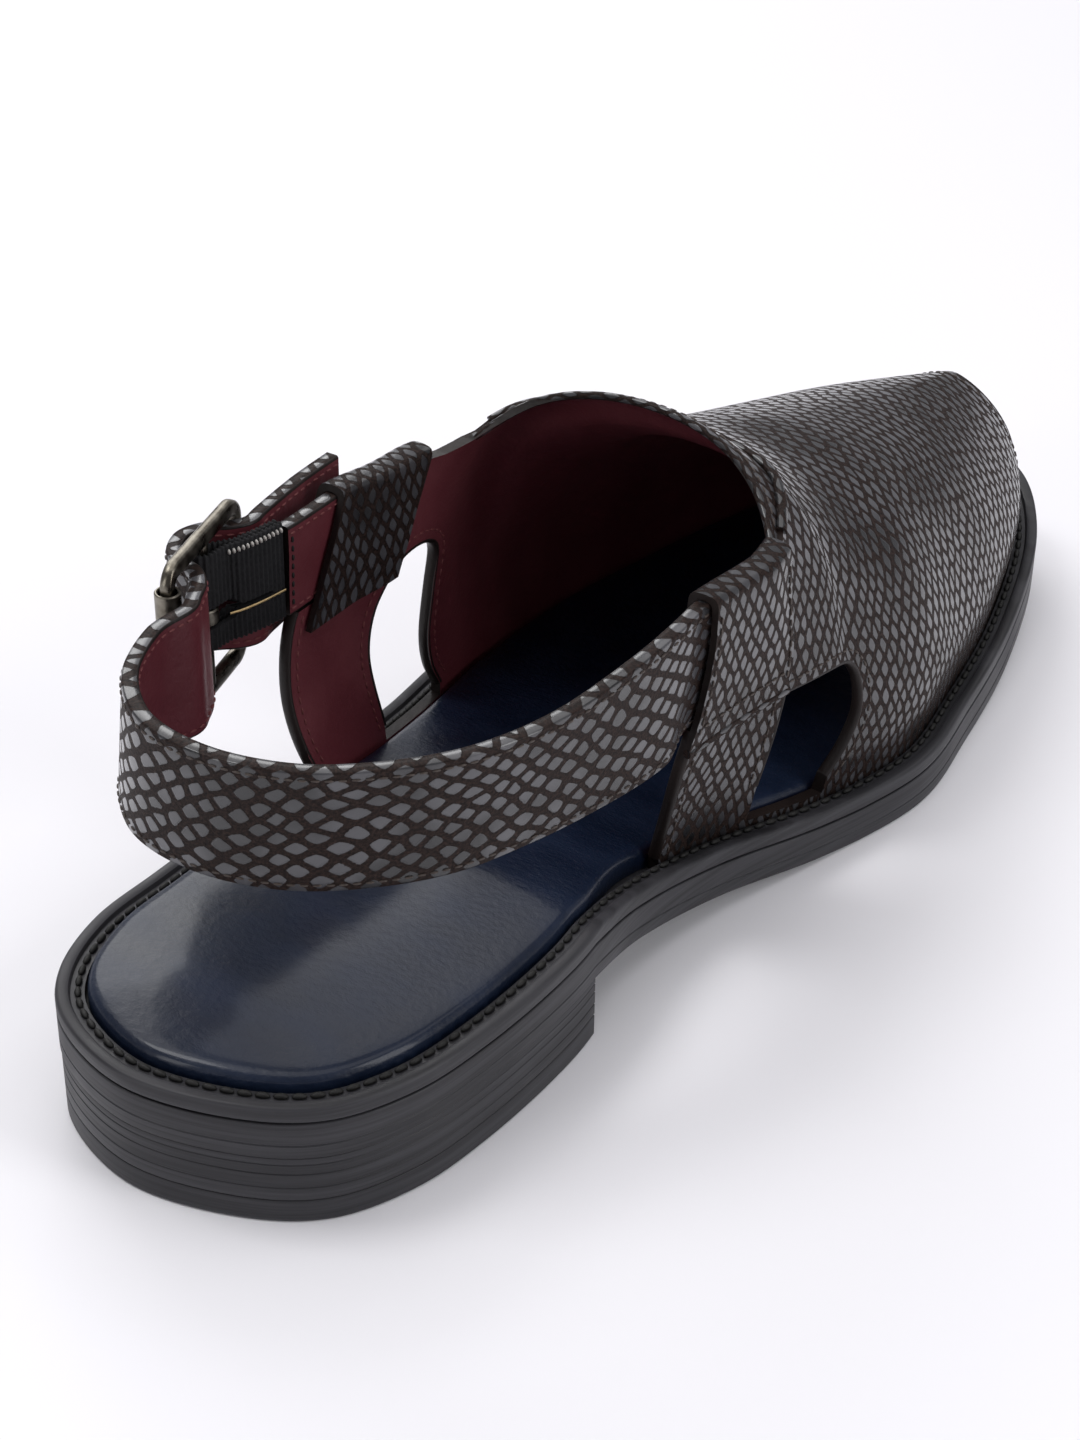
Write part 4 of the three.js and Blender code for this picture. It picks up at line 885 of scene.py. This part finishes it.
def side_prism(outline, from_x, to_x, finish=2):
    """A side-view outline carried across the shoe, whose faces take one of the upper's finishes."""
    points = [(x, y, z) for x in (from_x, to_x) for y, z in outline]
    faces = prism_faces(len(outline))
    uv = np.zeros((len(points), 2))
    return make_mesh("cutter", points, faces, LEATHERS, [finish] * len(faces), uv)


def reach_of(side, start=0):
    """From start to well outside the shoe on one side, lower x first."""
    return sorted((side * start, side * CUT_REACH))


def throat_curve():
    return spline(np.vstack([SIDE_CUT[1][-1:], THROAT_LINE]), 10)


def throat_cut(side):
    legs = SIDE_CUT[side]
    throat = throat_curve()[1:]
    rear = 0.2 * OUTSOLE_LENGTH
    outline = np.vstack([[rear, legs[0, 1]], legs, throat, [rear, throat[-1, 1]]])
    return side_prism(outline, *reach_of(side))


def band_front():
    """Front edge of the throat band, which bows forward from the corners to the crown."""
    line = throat_curve()
    climbed = (line[:, 1] - line[0, 1]) / (INSTEP_HEIGHT - line[0, 1])
    return line + joined(BAND_SPREAD * np.minimum(1, 0.3 + 1.6 * climbed), 0)


def above_rim(curve, by):
    """The points of a side-view curve that lie higher than the welt's rim by an amount."""
    return curve[curve[:, 1] > rim_height(curve[:, 0]) + by]


def window_curve(side):
    return above_rim(spline(WINDOW[side], 8), 0.9)


def window_cut(side):
    sill = np.linspace(WINDOW[side][-1, 0], WINDOW[side][0, 0], 9)
    outline = np.vstack([window_curve(side), joined(sill, rim_height(sill) + RIM_MARGIN)])
    return side_prism(outline, *reach_of(side, WINDOW_REACH))


def moved_in(depth, overrun=0):
    """The upper's outer face moved inwards, with its feet level or lower by an overrun."""
    moved = upper_grid - depth * upper_normals
    moved[:, [0, -1], 2] = upper_grid[:, [0, -1], 2] - overrun
    return moved


def form_at(depth, overrun):
    """The closed form inside the upper's outer face moved inwards by depth."""
    moved = moved_in(depth, overrun)
    rows = np.concatenate([moved[:1] - (0, overrun, 0), moved, moved[-1:] + (0, overrun, 0)])
    faces = grid_quads(*rows.shape[:2], closed=True) + end_faces(*rows.shape[:2])
    return make_mesh("form", rows, faces, LEATHERS, [0] * len(faces), girth_uv(rows))


def make_upper():
    made = shell("upper_shell", upper_grid, moved_in(UPPER_WALL), LEATHERS, girth_uv(upper_grid))
    front = band_front()
    rear = front[0, 0] - BAND_WIDTH
    band = np.vstack([[rear, front[0, 1]], front, [rear, front[-1, 1]]])
    band = side_prism(band, -CUT_REACH, CUT_REACH, 0)
    cut(band, [form_at(BAND_STEP, 4)])
    toe = spline(TOE_LINE, 8)
    far = 1.1 * OUTSOLE_LENGTH
    toe = np.vstack([toe, [far, toe[-1, 1]], [far, toe[0, 1]]])
    openings = [throat_cut(1), throat_cut(-1), window_cut(1), window_cut(-1)]
    cut(made, [*openings, side_prism(toe, -CUT_REACH, CUT_REACH), band])
    place(made, ["upper"])


def traced(curve, low=0.0):
    """Where the upper's outer face meets a side-view curve whose height rises, from the inner side
    over the crown to the outer side: points and outward normals."""
    points = []
    normals = []
    for j in range(2, upper_grid.shape[1] - 2):
        line = upper_grid[:, j]
        past = line[:, 1] - np.interp(line[:, 2], curve[:, 1], curve[:, 0])
        crossed = np.nonzero((past[:-1] < 0) & (past[1:] >= 0))[0]
        if not len(crossed):
            continue
        i = crossed[-1]
        t = past[i] / (past[i] - past[i + 1])
        point = line[i] * (1 - t) + line[i + 1] * t
        if point[2] >= low:
            points.append(point)
            normals.append(upper_normals[i, j] * (1 - t) + upper_normals[i + 1, j] * t)
    return np.array(points), np.array(normals)


def on_wall(side, curve):
    """A side-view curve laid on the upper's outer face: points and outward normals."""
    y, z = curve.T
    step = 0.5
    slope_y = outer_face_x(side, y + step, z) - outer_face_x(side, y - step, z)
    slope_z = outer_face_x(side, y, z + step) - outer_face_x(side, y, z - step)
    normals = side * unit(joined(2 * step, -slope_y, -slope_z))
    return joined(outer_face_x(side, y, z), y, z), normals


def smoothed(line, rounds=4):
    """A line with small steps between its points evened out."""
    line = line.copy()
    for _ in range(rounds):
        line[1:-1] = (line[:-2] + 2 * line[1:-1] + line[2:]) / 4
    return line


# Rolled edges: half their thickness and width, and how deep their middle lies in the wall
WALL_ROLL = (UPPER_WALL / 2 + 0.12, 0.8, UPPER_WALL / 2)
THROAT_ROLL = ((UPPER_WALL - BAND_STEP) / 2 + 0.15, 0.75, (UPPER_WALL + BAND_STEP) / 2)
VAMP_ROLL = (1.0, 1.25, 0.4)
SLEEVE_ROLL = (0.85, 1.0, 0.45)
ROLL_SIDES = 16


def edge_roll(name, points, normals, roll, finish=EDGE):
    """Leather turned over an edge: a rounded bar along it, sunk into the wall."""
    thick, wide, sink = roll
    count = max(8, int(lengths_along(points)[-1] / 1.2))
    both = resampled(np.hstack([smoothed(points), smoothed(normals)]), count)
    line = both[:, :3]
    rise = unit(both[:, 3:])
    across = np.cross(directions(line), rise)
    ring = circle(ROLL_SIDES) * (wide, thick)
    centre = line - rise * sink
    rows = centre[:, None] + ring[:, :1] * across[:, None] + ring[:, 1:] * rise[:, None]
    uv = joined(lengths_along(line)[:, None], 0.45 * np.arange(ROLL_SIDES))
    place(bar(name, rows, [finish], uv=uv, sharp=70))


def wall_seams(label, points, normals):
    """Stitches along points on the upper's outer face, and along the lining behind them."""
    stitches(f"{label}_stitches", points, normals, BROWN_THREAD, "wall")
    behind = points - normals * UPPER_WALL
    stitches(f"{label}_lining_stitches", behind, -normals, RED_THREAD, "wall")


EDGE_SEAM = 2.3
ROLL_FOOT = -1.5


def trim_side(side):
    """Rolled edges and seams of a leg and of the window beside it."""
    leg = above_rim(spline(SIDE_CUT[side][1 : LEG_TOP[side] + 1], 12), ROLL_FOOT)
    window = window_curve(side)
    rolled = above_rim(spline(WINDOW[side], 8), ROLL_FOOT)
    label = SIDES[side]
    edge_roll(f"{label}_leg_edge", *on_wall(side, leg), WALL_ROLL)
    edge_roll(f"{label}_window_edge", *on_wall(side, rolled), WALL_ROLL)
    for part, curve, away in (("leg", leg, -EDGE_SEAM), ("window", window, EDGE_SEAM)):
        seam = smoothed(curve, 2)
        seam = above_rim(seam + away * left_of(directions(seam)), RIM_MARGIN)
        wall_seams(f"{label}_{part}", *on_wall(side, seam))


# How far a seam lies from its edge, and how far above the curve's foot edge and seam begin
THROAT_SEAM = 2.4
VAMP_SEAM = 2.2
TOE_SEAM = 2.6
EDGE_START = 0.5
SEAM_START = 1.5
TOE_EDGE_FOOT = 22
TOE_SEAM_FOOT = 24


def sew_along(name, curve, low, kind, step=0.0):
    """Stitches along a curve over the upper, sunk by a step."""
    points, normals = traced(curve, low)
    stitches(name, smoothed(points - normals * step), normals, BROWN_THREAD, kind)


def trim_upper():
    trim_side(1)
    trim_side(-1)
    throat = throat_curve()
    edge_foot = throat[0, 1] + EDGE_START
    seam_foot = throat[0, 1] + SEAM_START
    edge_roll("throat_edge", *traced(throat, edge_foot), THROAT_ROLL, SNAKE)
    sew_along("throat_stitches", throat + (THROAT_SEAM, 0), seam_foot, "band", BAND_STEP)
    front = band_front()
    edge_roll("vamp_edge_roll", *traced(front, edge_foot), VAMP_ROLL, SNAKE)
    sew_along("vamp_edge_stitches", front + (VAMP_SEAM, 0), seam_foot, "band")
    toe = spline(TOE_LINE, 8)
    toe = toe[np.argsort(toe[:, 1])]
    edge_roll("toe_edge", *traced(toe, TOE_EDGE_FOOT), WALL_ROLL)
    sew_along("toe_stitches", toe - (TOE_SEAM, 0), TOE_SEAM_FOOT, "wall")


# Sleeves

SLEEVE_STATIONS = 44
SLEEVE_POINTS = 80


def held_x(side, y, z):
    """Centre of a wall held upright as far up as the strap."""
    return wall_centre_x(side, y, np.minimum(z, STRAP_HEIGHT + STRAP_WIDTH / 4))


def fall_at(plan, y, z):
    """How far a height inside a sleeve has come down at y."""
    rear = plan["rear_top"] * OUTSOLE_LENGTH
    front = plan["front_top"] * OUTSOLE_LENGTH
    onward = np.clip((y - rear) / (front - rear), 0, 1)
    upward = np.clip((z - STRAP_LOW) / STRAP_WIDTH, 0, 1)
    return (plan["drop"] + plan["fall"] * onward) * upward


def corner_cut(line, rounds=2):
    """An open line with its corners eased."""
    for _ in range(rounds):
        near = line[:-1] * 0.75 + line[1:] * 0.25
        far = line[:-1] * 0.25 + line[1:] * 0.75
        middle = np.stack([near, far], axis=1).reshape(-1, 2)
        line = np.vstack([line[:1], middle[1:-1], line[-1:]])
    return line


def sleeve_halves(low):
    """Half sections of a sleeve over the strap, outside and inside, as (across, up)."""
    top = STRAP_TOP + GAP
    lap = low + SLEEVE_LAP
    leather = SLEEVE_LEATHER
    grip = UPPER_WALL / 2 + SLEEVE_ROOM
    room = STRAP_THICKNESS / 2 + SLEEVE_ROOM
    inside = [(grip, low), (grip, lap - 2), (room, lap + 1), (room, top - 1), (room * 0.6, top)]
    outside = [(grip + leather, low), (grip + leather, lap - 2), (room + leather, lap + 1)]
    outside += [
        (room + leather, top - 1.2),
        (room + leather * 0.6, top + leather * 0.7),
        (room * 0.5, top + leather),
    ]
    return np.array(outside), np.array(inside)


def sleeve_grid(side, half, low):
    """One face of a sleeve folded over the strap."""
    plan = SLEEVE[side]
    section = resampled(corner_cut(np.vstack([half, (half * (-1, 1))[::-1]])), SLEEVE_POINTS)
    across, z = section.T
    share = (z - low) / (STRAP_TOP + GAP - low)
    rear = (plan["rear_low"] + (plan["rear_top"] - plan["rear_low"]) * share) * OUTSOLE_LENGTH
    front = (plan["front_low"] + (plan["front_top"] - plan["front_low"]) * share) * OUTSOLE_LENGTH
    rows = []
    for t in np.linspace(0, 1, SLEEVE_STATIONS):
        y = rear + (front - rear) * t
        rows.append(joined(held_x(side, y, z) + side * across, y, z - fall_at(plan, y, z)))
    return np.array(rows)


def make_sleeve(side):
    low = SLEEVE[side]["low"] * INSTEP_HEIGHT
    outer, inner = (sleeve_grid(side, half, low) for half in sleeve_halves(low))
    name = f"{SIDES[side]}_sleeve"
    uv = joined(lengths_across(outer), outer[..., 1])
    place(shell(name, outer, inner, LEATHERS, uv), [f"sleeve_{SIDES[side]}"])
    normal = grid_normals(outer)
    flank = slice(4, SLEEVE_POINTS // 2 - 6)
    for label, row in (("rear", 2), ("front", -3)):
        outward = normal[row, flank] * np.sign(side * normal[row, flank, :1])
        stitches(f"{name}_{label}_stitches", outer[row, flank], outward, BROWN_THREAD, "sleeve")
    foot = outer[:, 0]
    outward = np.broadcast_to((side, 0.0, 0.0), foot.shape)
    edge_roll(f"{name}_foot_fold", foot, outward, SLEEVE_ROLL, SNAKE)
    seam = outer[3:-3, 6]
    stitches(f"{name}_foot_stitches", seam, (side, 0, 0), BROWN_THREAD, "sleeve")


# Straps

STRAP_STATIONS = 420
STRAP_HIDDEN = 36
STRAP_EASE = 0.6
FACE_POINTS = 14
STRAP_SEAM = 1.7
TAB_SEAM = 1.6
TAB_STATIONS = 90
TAB_SEWN = 50


def ribbon_profile(low, high):
    """Closed outline of a flat strap on edge, as (across, height), with a finish for each step:
    lining on the right-hand face, leather on the other and over the edges."""
    half = STRAP_THICKNESS / 2
    ease = STRAP_EASE
    heights = np.linspace(low + ease, high - ease, FACE_POINTS)
    turn = np.radians([22.5, 45, 67.5])
    corner_out = joined(half - ease + ease * np.cos(turn), high - ease + ease * np.sin(turn))
    top = np.vstack([corner_out, (corner_out * (-1, 1))[::-1]])
    foot = (top * (1, -1) + (0, low + high))[::-1]
    outline = np.vstack([joined(half, heights), top, joined(-half, heights[::-1]), foot])
    lined = FACE_POINTS - 1
    covered = len(outline) - lined - 5
    return outline, [1] * lined + [2] * 3 + [0] * covered + [2] * 2


def plan_in_buckle(rows):
    """Plan points from shares along the buckle and outwards from it."""
    inwards = np.array((BUCKLE_FORWARD[1], -BUCKLE_FORWARD[0]))
    rows = rows * BUCKLE_LENGTH
    return BUCKLE_CENTRE[:2] + rows[:, :1] * BUCKLE_FORWARD[:2] - rows[:, 1:] * inwards


def held_line(side, end):
    """Plan line of a strap inside a sleeve, from its end to the sleeve's rear."""
    rear = SLEEVE[side]["rear_low"] * OUTSOLE_LENGTH - 1
    y = end + (rear - end) * np.linspace(0, 1, 5)
    return joined(wall_centre_x(side, y, STRAP_HEIGHT), y)


def held_place(side, points, station_y):
    """Points of a strap held in a sleeve: they lean and fall with the wall."""
    x, y, z = points.T
    rear = SLEEVE[side]["rear_low"] * OUTSOLE_LENGTH
    grip = smoothstep(station_y, rear - 12, rear - 1)
    lean = held_x(side, y, z) - wall_centre_x(side, y, STRAP_HEIGHT)
    return joined(x + grip * lean, y, z - fall_at(SLEEVE[side], y, z))


def settle_strap(points, station, share):
    """Heel strap: held at the inner side, and leaning back round the heel."""
    swing = smoothstep(share, *LEAN_FROM) * (1 - smoothstep(share, *LEAN_TO))
    reach = swing * (points[:, 2:] - STRAP_HEIGHT) / STRAP_WIDTH
    if station[0] > 0:
        points = held_place(1, points, station[1])
    return points + STRAP_LEAN * reach


def settle_tab(points, station, _share):
    """Elastic's tab: held at the outer side."""
    return held_place(-1, points, station[1])


def ribbon(line, profile, settle, first_share=0.0):
    """Sections of a strap along a plan line. settle gives each section its place."""
    right = -left_of(directions(line))
    shares = np.linspace(first_share, 1, len(line))
    rows = []
    for station, across, share in zip(line, right, shares):
        x, y = (station + across * profile[:, :1]).T
        rows.append(settle(joined(x, y, profile[:, 1]), station, share))
    return np.array(rows)


def strap_seam(name, line, height, settle, kind, inside=True, first_share=0.0, sewn=None):
    """Stitches along the lined or the outer face of a strap at a height, as far as it is sewn."""
    way = 1 if inside else -1
    profile = np.array([(way * STRAP_THICKNESS / 2, height)])
    seam = ribbon(line, profile, settle, first_share)[:sewn, 0]
    facing = joined(*(-way * left_of(directions(line))).T, 0)[:sewn]
    colour, slot = (RED_THREAD, "lining") if inside else (BROWN_THREAD, "snake")
    stitches(name, seam, facing, colour, kind)


def strap_bar(name, line, low, settle):
    """A strap along a plan line, from its low edge up to the straps' common top."""
    profile, kinds = ribbon_profile(low, STRAP_TOP)
    sections = ribbon(line, profile, settle)
    uv = joined(lengths_along(line)[:, None], profile[:, 1] + 0.5 * profile[:, 0])
    return bar(name, sections, STRAP_LEATHERS, kinds, uv)


def make_heel_strap():
    end = SIDE_CUT[1][STRAP_STOP, 0] - 1.6
    free = STRAP_PLAN * (BALL_WIDTH, OUTSOLE_LENGTH)
    points = np.vstack([held_line(1, end), free, plan_in_buckle(STRAP_IN_BUCKLE)])
    line = resampled(spline(points), STRAP_STATIONS)
    made = strap_bar("heel_strap", line, STRAP_LOW, settle_strap)
    cut(made, [prong_shank("cutter", PRONG_RADIUS + GAP + 0.2)])
    place(made, ["back_strap"])
    shown = line[STRAP_HIDDEN:]
    first = STRAP_HIDDEN / (STRAP_STATIONS - 1)
    for face, inside in (("lining", True), ("outer", False)):
        for edge, height in (("low", STRAP_LOW + STRAP_SEAM), ("top", STRAP_TOP - STRAP_SEAM)):
            name = f"strap_{face}_{edge}_stitches"
            strap_seam(name, shown, height, settle_strap, "wall", inside, first)


def make_tab():
    low = STRAP_TOP - TAB_WIDTH
    rear = plan_in_buckle(ELASTIC_TAIL[-1:])
    held = held_line(-1, SIDE_CUT[-1][STRAP_STOP, 0] - 1)[::-1]
    start = rear + unit(held[:1] - rear) * TAB_CLEARANCE
    line = resampled(spline(np.vstack([start, held])), TAB_STATIONS)
    place(strap_bar("tab_leather", line, low, settle_tab), ["elastic_tab"])
    for edge, height in (("low", low + TAB_SEAM), ("top", STRAP_TOP - TAB_SEAM)):
        name = f"tab_{edge}_stitches"
        strap_seam(name, line, height, settle_tab, "tab", sewn=TAB_SEWN)
    heights = np.linspace(low + 2, STRAP_TOP - 2, FACE_POINTS)
    upright = ribbon(line[3:5], joined(STRAP_THICKNESS / 2, heights), settle_tab)[0]
    facing = joined(*(-left_of(directions(line))[3]), 0)
    stitches("tab_end_stitches", upright, facing, BLACK_THREAD, "tab_end")


# Elastic and buckle

RIB_PITCH = 1.05
RIB_DEPTH = 0.12
SCALLOP = 0.18
SLIT_TIP = 0.4
TAIL_START = 6


def in_buckle(points):
    """Points from the buckle's own frame: forwards, up and inwards from the centre bar."""
    basis = np.stack([BUCKLE_FORWARD, (0, 0, 1), np.cross(BUCKLE_FORWARD, (0, 0, 1))])
    return np.asarray(points, float) @ basis + BUCKLE_CENTRE


def make_elastic():
    tail = spline(ELASTIC_TAIL * (BUCKLE_LENGTH, -BUCKLE_LENGTH), 10)
    left = left_of(directions(tail)) * (ELASTIC_PLY / 2 + 0.04)
    turn = np.radians(np.linspace(95, 330, 14))
    radius = CENTRE_BAR_RADIUS + GAP + ELASTIC_PLY / 2
    loop = radius * joined(np.cos(turn), np.sin(turn))
    path = spline(np.vstack([(tail + left)[:5:-4], loop, (tail - left)[10::4]]), 16)
    path = resampled(path, 420)
    wave = np.cos(2 * math.pi * lengths_along(path) / RIB_PITCH)
    side = left_of(directions(path))
    half = ELASTIC_PLY / 2 - 0.1
    top = STRAP_WIDTH / 2
    low = top - TAB_WIDTH
    face = [(1, low + 0.25), (1, top - 0.25), (0.6, top)]
    outline = face + [(-across, up) for across, up in face[::-1]] + [(-0.6, low), (0.6, low)]
    columns = []
    for across, up in outline:
        ribs = RIB_DEPTH * across * wave * (abs(across) == 1)
        x, z = (path + side * (across * half + ribs)[:, None]).T
        columns.append(joined(x, up + SCALLOP * wave * np.sign(up), z))
    sections = in_buckle(np.stack(columns, axis=1))
    made = bar("ribbed_elastic", sections, [ELASTIC], sharp=60)
    wide = ELASTIC_SLIT / 2
    slit = [(-5.4, -wide), (3.6, -wide), (5, -0.5), (11.6, -SLIT_TIP)]
    slit += [(x, -y) for x, y in slit[::-1]]
    through = [(x, y, z) for z in (-15.5, 15.5) for x, y in slit]
    cut(made, [make_mesh("cutter", in_buckle(through), prism_faces(len(slit)), [ELASTIC])], sharp=50)
    place(made, ["elastic"])
    x, z = (tail + left * 2.1)[TAIL_START:].T
    facing = joined(left[TAIL_START:, 0], 0, left[TAIL_START:, 1])
    facing = in_buckle(facing) - BUCKLE_CENTRE
    seam = in_buckle(joined(x, top - 1.2, z))
    # Real stitches along the elastic's top edge, coloured pale as a painted highlight
    stitches("elastic_edge_stitches", seam, facing, THREAD_WITH_PAINTED_HIGHLIGHT, "elastic")
    wire = in_buckle(joined(x, -0.75, z)) + 0.02 * facing
    place(bar("slit_wire", swept(wire, circle(10, 0.28)), [BRASS]))


FRAME_OPENING = STRAP_WIDTH + 2
FRAME_CORNER = 4.5
OPENING_CORNER = 1.8
FRAME_SQUARENESS = 0.55
BUCKLE_REACH = (BUCKLE_LENGTH - BUCKLE_BAR) / 2
ROLLER_RADIUS = BUCKLE_BAR / 2 + 0.35 + GAP + ROLLER_WALL
TUBE_STATIONS = 56


def rounded_rectangle(width, tall, radius):
    """Points round a rectangle whose quarters match those of any other."""
    turn = np.radians(np.linspace(0, 90, 14))
    arc = radius * joined(np.cos(turn), np.sin(turn)) + (width / 2 - radius, tall / 2 - radius)
    return np.vstack([arc, arc[::-1] * (-1, 1), arc * (-1, -1), arc[::-1] * (1, -1)])


def make_buckle_ring():
    height = FRAME_OPENING + 2 * BUCKLE_SIDE_BAR
    outer = rounded_rectangle(BUCKLE_LENGTH, height, FRAME_CORNER)
    hole = rounded_rectangle(BUCKLE_LENGTH - 2 * BUCKLE_BAR, FRAME_OPENING, OPENING_CORNER)
    section = circle(16)
    across, out = (np.sign(section) * np.abs(section) ** FRAME_SQUARENESS).T
    flat = (outer + hole)[:, None] / 2 + (outer - hole)[:, None] / 2 * across[:, None]
    rows = joined(flat[..., 0], flat[..., 1], BUCKLE_BAR / 2 * out)
    faces = grid_quads(*rows.shape[:2], closed=True, looped=True)
    made = make_mesh("buckle_ring", in_buckle(rows), faces, [METAL], sharp=50)
    place(made, ["buckle_frame"])


def make_centre_bar():
    reach = FRAME_OPENING / 2 + 1
    post = joined(0, np.linspace(-reach, reach, 5), 0)
    across, deep = circle(24, CENTRE_BAR_RADIUS).T
    sections = in_buckle(post[:, None] + joined(across, 0, deep))
    place(bar("buckle_centre_bar", sections, [METAL]))


def tube(name, centre_x, inner, outer, half):
    """A short tube round an upright axis, with eased ends."""
    ease = min(0.25, (outer - inner) / 3)
    foot = [(inner, ease - half), (inner + ease, -half), (outer - ease, -half), (outer, ease - half)]
    profile = foot + [(r, -h) for r, h in foot[::-1]]
    r, h = np.array(profile).T
    x, z = np.moveaxis(circle(TUBE_STATIONS)[:, None] * r[:, None], -1, 0)
    faces = grid_quads(TUBE_STATIONS, len(profile), closed=True, looped=True)
    return make_mesh(name, in_buckle(joined(centre_x + x, h, z)), faces, [METAL])


def prong_shank(name, radius):
    over = ROLLER_RADIUS + GAP + PRONG_RADIUS
    points = [
        (-CENTRE_BAR_RADIUS - GAP - 0.5, 0, -0.4),
        (-BUCKLE_REACH * 0.4, 0, -over * 0.85),
        (-BUCKLE_REACH * 0.75, 0, -over * 1.12),
        (-BUCKLE_REACH, 0, -over - 0.1),
        (-BUCKLE_REACH - ROLLER_RADIUS - 0.6, 0, -over + 0.3),
    ]
    line = resampled(spline(points), 40)
    taper = 1 - 0.35 * smoothstep(np.linspace(0, 1, 40), 0.88, 1)
    section = circle(20) * (radius * taper)[:, None, None]
    return bar(name, swept(in_buckle(line), section), [METAL])


def make_buckle():
    make_buckle_ring()
    make_centre_bar()
    inner = ROLLER_RADIUS - ROLLER_WALL
    roller = tube("roller_tube", -BUCKLE_REACH, inner, ROLLER_RADIUS, STRAP_WIDTH / 2 - 0.5)
    place(roller, ["buckle_roller"])
    place(prong_shank("buckle_tongue", PRONG_RADIUS), ["buckle_prong"])
    eye = CENTRE_BAR_RADIUS + GAP
    place(tube("buckle_tongue_eye", 0, eye, eye + 1, ELASTIC_SLIT / 2 - 0.6))


make_sole()
make_welt()
make_insole()
make_upper()
trim_upper()
make_sleeve(1)
make_sleeve(-1)
make_heel_strap()
make_tab()
make_elastic()
make_buckle()

# Floor, light and camera, in metres


def add_object(name, data):
    made = bpy.data.objects.new(name, data)
    bpy.context.scene.collection.objects.link(made)
    return made


def make_floor():
    reach = 3.0
    low = -0.0002
    mesh = bpy.data.meshes.new("floor")
    corners = [(-reach, -reach, low), (reach, -reach, low), (reach, reach, low), (-reach, reach, low)]
    mesh.from_pydata(corners, [], [[0, 1, 2, 3]])
    look = Look("pale_floor", {"Roughness": 0.7, "Base Color": (0.84, 0.83, 0.86, 1)})
    mesh.materials.append(look.material)
    floor = add_object("floor", mesh)


# Softboxes: place, width and height, and power in watts, all aimed at the middle of the shoe
AIM = Vector((0, 0.1, 0.03))
SOFTBOXES = {
    "top_light": ((-0.5, -0.2, 1.1), (0.4, 0.4), 3.6),
    "back_light": ((-1.0, 0.75, 0.75), (0.8, 0.5), 5),
    "side_light": ((0.95, 0.2, 0.45), (0.35, 0.9), 4.5),
    "heel_light": ((-0.25, -0.95, 0.35), (0.25, 0.6), 1.8),
}


def make_light():
    world = bpy.data.worlds.new("studio")
    world.use_nodes = True
    sky = world.node_tree.nodes["Background"].inputs
    sky["Color"].default_value = (0.93, 0.94, 1.0, 1)
    sky["Strength"].default_value = 0.3
    bpy.context.scene.world = world
    sun = bpy.data.lights.new("overhead", "SUN")
    sun.energy = 1.42
    sun.angle = math.radians(75)
    sun.color = (1.0, 0.985, 0.99)
    overhead = add_object("overhead", sun)
    overhead.rotation_euler = (math.radians(-14), math.radians(-10), 0)
    for name, (place_at, size, power) in SOFTBOXES.items():
        data = bpy.data.lights.new(name, "AREA")
        data.shape = "RECTANGLE"
        data.size, data.size_y = size
        data.energy = power
        light = add_object(name, data)
        light.location = place_at
        light.rotation_euler = (AIM - Vector(place_at)).to_track_quat("-Z", "Y").to_euler()


CAMERA_AT = Vector((0.2609, -0.29345, 0.3417))
CAMERA_AZIMUTH = math.radians(35.35)
CAMERA_ELEVATION = math.radians(34.04)
CAMERA_ROLL = math.radians(0.85)
FILM_HEIGHT = 36
LENS = 70.25


def make_camera():
    ahead = Vector((-math.sin(CAMERA_AZIMUTH), math.cos(CAMERA_AZIMUTH), 0))
    forward = ahead * math.cos(CAMERA_ELEVATION) - Vector((0, 0, math.sin(CAMERA_ELEVATION)))
    flat_right = Vector((math.cos(CAMERA_AZIMUTH), math.sin(CAMERA_AZIMUTH), 0))
    flat_up = flat_right.cross(forward)
    right = flat_right * math.cos(CAMERA_ROLL) + flat_up * math.sin(CAMERA_ROLL)
    data = bpy.data.cameras.new("camera")
    data.sensor_fit = "VERTICAL"
    data.sensor_height = FILM_HEIGHT
    data.sensor_width = FILM_HEIGHT
    data.lens = LENS
    camera = add_object("camera", data)
    turn = Matrix((right, right.cross(forward), -forward)).transposed()
    camera.matrix_world = Matrix.Translation(CAMERA_AT) @ turn.to_4x4()
    bpy.context.scene.camera = camera


make_floor()
make_light()
make_camera()
bpy.context.scene.view_settings.view_transform = "Standard"
